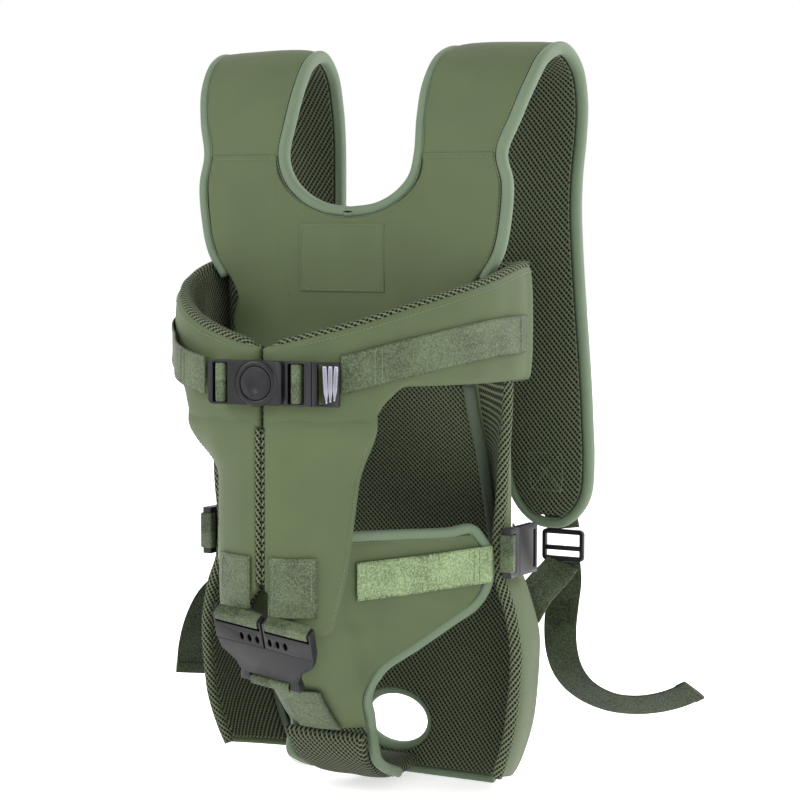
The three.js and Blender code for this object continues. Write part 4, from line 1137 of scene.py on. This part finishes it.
# A moulded piece: the frame's own solid with its edges rounded off.
def moulded(node, name, body, width):
    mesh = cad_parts[node].data.copy()
    mesh.name = name
    work = bmesh.new()
    work.from_mesh(mesh)
    bmesh.ops.remove_doubles(work, verts=work.verts, dist=2e-6)
    bmesh.ops.dissolve_limit(work, angle_limit=math.radians(1.0), verts=work.verts, edges=work.edges)
    work.to_mesh(mesh)
    work.free()
    mesh.materials.clear()
    mesh.materials.append(plasticFinish[0])
    mesh.polygons.foreach_set("use_smooth", np.ones(len(mesh.polygons), bool))
    piece = addObject(name, mesh)
    bevel = piece.modifiers.new("bevel", "BEVEL")
    bevel.width, bevel.segments, bevel.limit_method = width * millimetre, 3, "ANGLE"
    bevel.angle_limit, bevel.harden_normals = math.radians(28), True
    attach(piece, body)
    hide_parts(node)
    return piece


# A turned piece: a profile of radius and height carried once round the matrix's z axis.
def turnedPiece(name, profile, matrix, finish, body):
    radius, height = np.array(profile, float).T[:, :, None]
    a = np.linspace(0, 2 * np.pi, 73)[:-1]
    points = xyz(radius * np.cos(a), radius * np.sin(a), height)
    index = joined(np.arange(len(profile) * len(a)).reshape(-1, len(a)))
    faces = gridFaces(np.vstack([index, index[:1]]))[:, [0, 3, 2, 1]]
    uvs = np.zeros((faces.size, 2))
    return addMesh(name, put(matrix, points.reshape(-1, 3)), faces, uvs, finish, body=body)


# A loop of webbing round a bar: a flat section carried round a rounded box.
def webLoop(name, matrix, centre, size, axis, width, body, replaces, finish):
    outline = roundSection(size[0] + 2.4, size[1] + 2.4, 5, 56)
    flat = {"x": (2, 1), "y": (0, 2), "z": (0, 1)}[axis]
    path = np.zeros((len(outline), 3))
    path[:, flat[0]], path[:, flat[1]] = outline[:, 0], outline[:, 1]
    path = pointAt(smoothLine(np.vstack([path, path[:1]])), np.linspace(0, 1, 71)[:-1])
    tangent = unit(np.roll(path, -1, 0) - np.roll(path, 1, 0))
    bar = np.zeros(3)
    bar["xyz".index(axis)] = 1
    normals = np.cross(tangent, bar)
    normals = normals * np.sign((normals * path).sum(1).mean())
    section = roundSection(width, 1.7, 6, 28)
    return sweep(name, put(matrix, path + centre), turned(matrix, normals), section, finish, replaces,
                 closed=True, body=body)


def makeCollarBuckle():
    moulded("buckle_housing", "buckle_shell", "vest", 0.9)
    moulded("buckle_button", "buckle_press", "button", 0.5)
    moulded("buckle_tongue", "buckle_slide", "tongue", 0.8)
    inner, width = buckle["ringRadius"] - buckle["ringWidth"] / 2 + 0.6, buckle["ringWidth"]
    top, tongueWall = buckle["wall"], buckle["tongueWall"]
    profile = [(inner, top - 1.5), (inner, top + 0.7), (inner + 0.5, top + 1.3),
               (inner + width * 0.55, top + 1.1), (inner + width, top + 0.1), (inner + width, top - 1.5)]
    turnedPiece("buckle_ring", profile, buckleFrame, plasticFinish, "vest")
    for side, wall, middle, body in (("left", top, top / 2, "vest"),
                                     ("right", tongueWall, 1 + tongueWall / 2, "tongue")):
        webLoop(f"buckle_web_{side}", buckleFrame, (buckle["loopX"][side], 0, middle), (4.0, wall), "y",
                web["width"], body, f"buckle_loop_{side}", webbingFinish)
    # ribs on the sloping end plate of the tongue, coloured pale grey as painted glare (a painted highlight)
    plate = buckleFrame @ placed((45.0, 0, 1.0), ("Y", 14.0))
    taper = lambda t: 0.35 + 0.65 * ease(t, 0, 0.35) * (1 - 0.3 * ease(t, 0.9, 1))
    for number, x in enumerate((10.8, 14.6, 18.4)):
        y = np.linspace(-14.2 + number * 1.0, 14.2, 30)
        path = put(plate, xyz(x + 1.6 * (y / 14) * (number - 1) * 0.5, y, tongueWall - 0.2))
        sweep(f"grip_rib_{number}", path, turned(plate, (0, 0, 1)), roundSection(3.4, 2.4, 2.6, 18),
              plateGlareFinish, swell=taper, body="tongue")


def makeThreeWay():
    moulded("three_way_housing", "three_way_shell", "vest", 0.8)
    wall, middle = threeWay["wall"], threeWay["wall"] / 2
    for side, sign in (("right", 1), ("left", -1)):
        moulded(f"three_way_prong_{side}", f"three_way_tongue_{side}", f"prong_{side}", 0.7)
        centre = (sign * (2.2 + threeWay["half"] - 1.4) / 2, threeWay["head"] - 2.3, middle)
        webLoop(f"tab_web_{side}", threeWayFrame, centre, (wall, 4.6), "x", web["tab"] - 1, f"prong_{side}",
                f"tab_loop_{side}", tabFinish)
    webLoop("tab_web_low", threeWayFrame, (0, threeWay["lowBar"], middle), (wall, 4.5), "x",
            threeWay["lowWidth"], "vest", "tab_loop_low", tabFinish)


def makeClips(side, mirror):
    moulded(f"side_clip_socket_{side}", f"clip_socket_{side}", "vest", 0.9)
    moulded(f"side_clip_plug_{side}", f"clip_plug_{side}", f"plug_{side}", 0.7)
    moulded(f"ladder_lock_{side}", f"lock_{side}", f"lock_{side}", 0.8)
    sign = -1 if mirror else 1
    webLoop(f"clip_web_loop_{side}", plainFrame, (sign * clip["x"], clip["loopY"], clip["z"]),
            (clip["wall"], 4.0), "z", web["width"], f"plug_{side}", f"clip_loop_{side}", webbingFinish)


bothSides(makeCollarWebbing)
bothSides(makeTabs)
makeCrotchTab()
bothSides(makeBackWebbing)
makeCollarBuckle()
makeThreeWay()
bothSides(makeClips)
print("webbing and buckles made")


# ---- floor and light ----------------------------------------------------------------------
stage = {  # each light: power, size and place from the middle of the vest
    "floor": (0.95, 0.95, 0.95), "reach": 9, "sky": 1.0,
    "key": (20.0, 0.9, (-1.0, -1.5, 0.9)), "fill": (16.0, 1.4, (1.6, -1.0, 0.3)),
    "rim": (22.0, 0.8, (0.9, 1.2, 1.0)),
}


def makeStage():
    shader = Shader("floor", Roughness=0.9, Emission_Color=(1, 1, 1, 1), Emission_Strength=0.6)
    tone = shader.noise(1.2, 2)
    shader.feed(Base_Color=shader.blendColor(tone, tuple(c * 0.985 for c in stage["floor"]), stage["floor"]))
    mesh = bpy.data.meshes.new("floor")
    bottom, reach = min(cadBox[0][2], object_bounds()[0][2]) - 0.0005, stage["reach"]
    corners = [(x * reach, y * reach, bottom) for x, y in ((-1, -1), (1, -1), (1, 1), (-1, 1))]
    mesh.from_pydata(corners, [], [[0, 1, 2, 3]])
    mesh.materials.append(shader.material)
    addObject("floor", mesh)
    world = bpy.data.worlds.new("studio")
    world.use_nodes = True
    sky = world.node_tree.nodes["Background"].inputs
    sky["Color"].default_value, sky["Strength"].default_value = (1, 1, 1, 1), stage["sky"]
    bpy.context.scene.world = world
    middle = Vector(view["aim"])
    for name in ("key", "fill", "rim"):
        power, size, place = stage[name]
        light = bpy.data.lights.new(name, "AREA")
        light.energy, light.size = power, size
        lamp = addObject(name, light)
        lamp.location = middle + Vector(place)
        lamp.rotation_euler = Vector(place).to_track_quat("Z", "Y").to_euler()
    settings = bpy.context.scene.view_settings
    settings.view_transform, settings.look = "Standard", "None"


makeStage()
print("stage made")
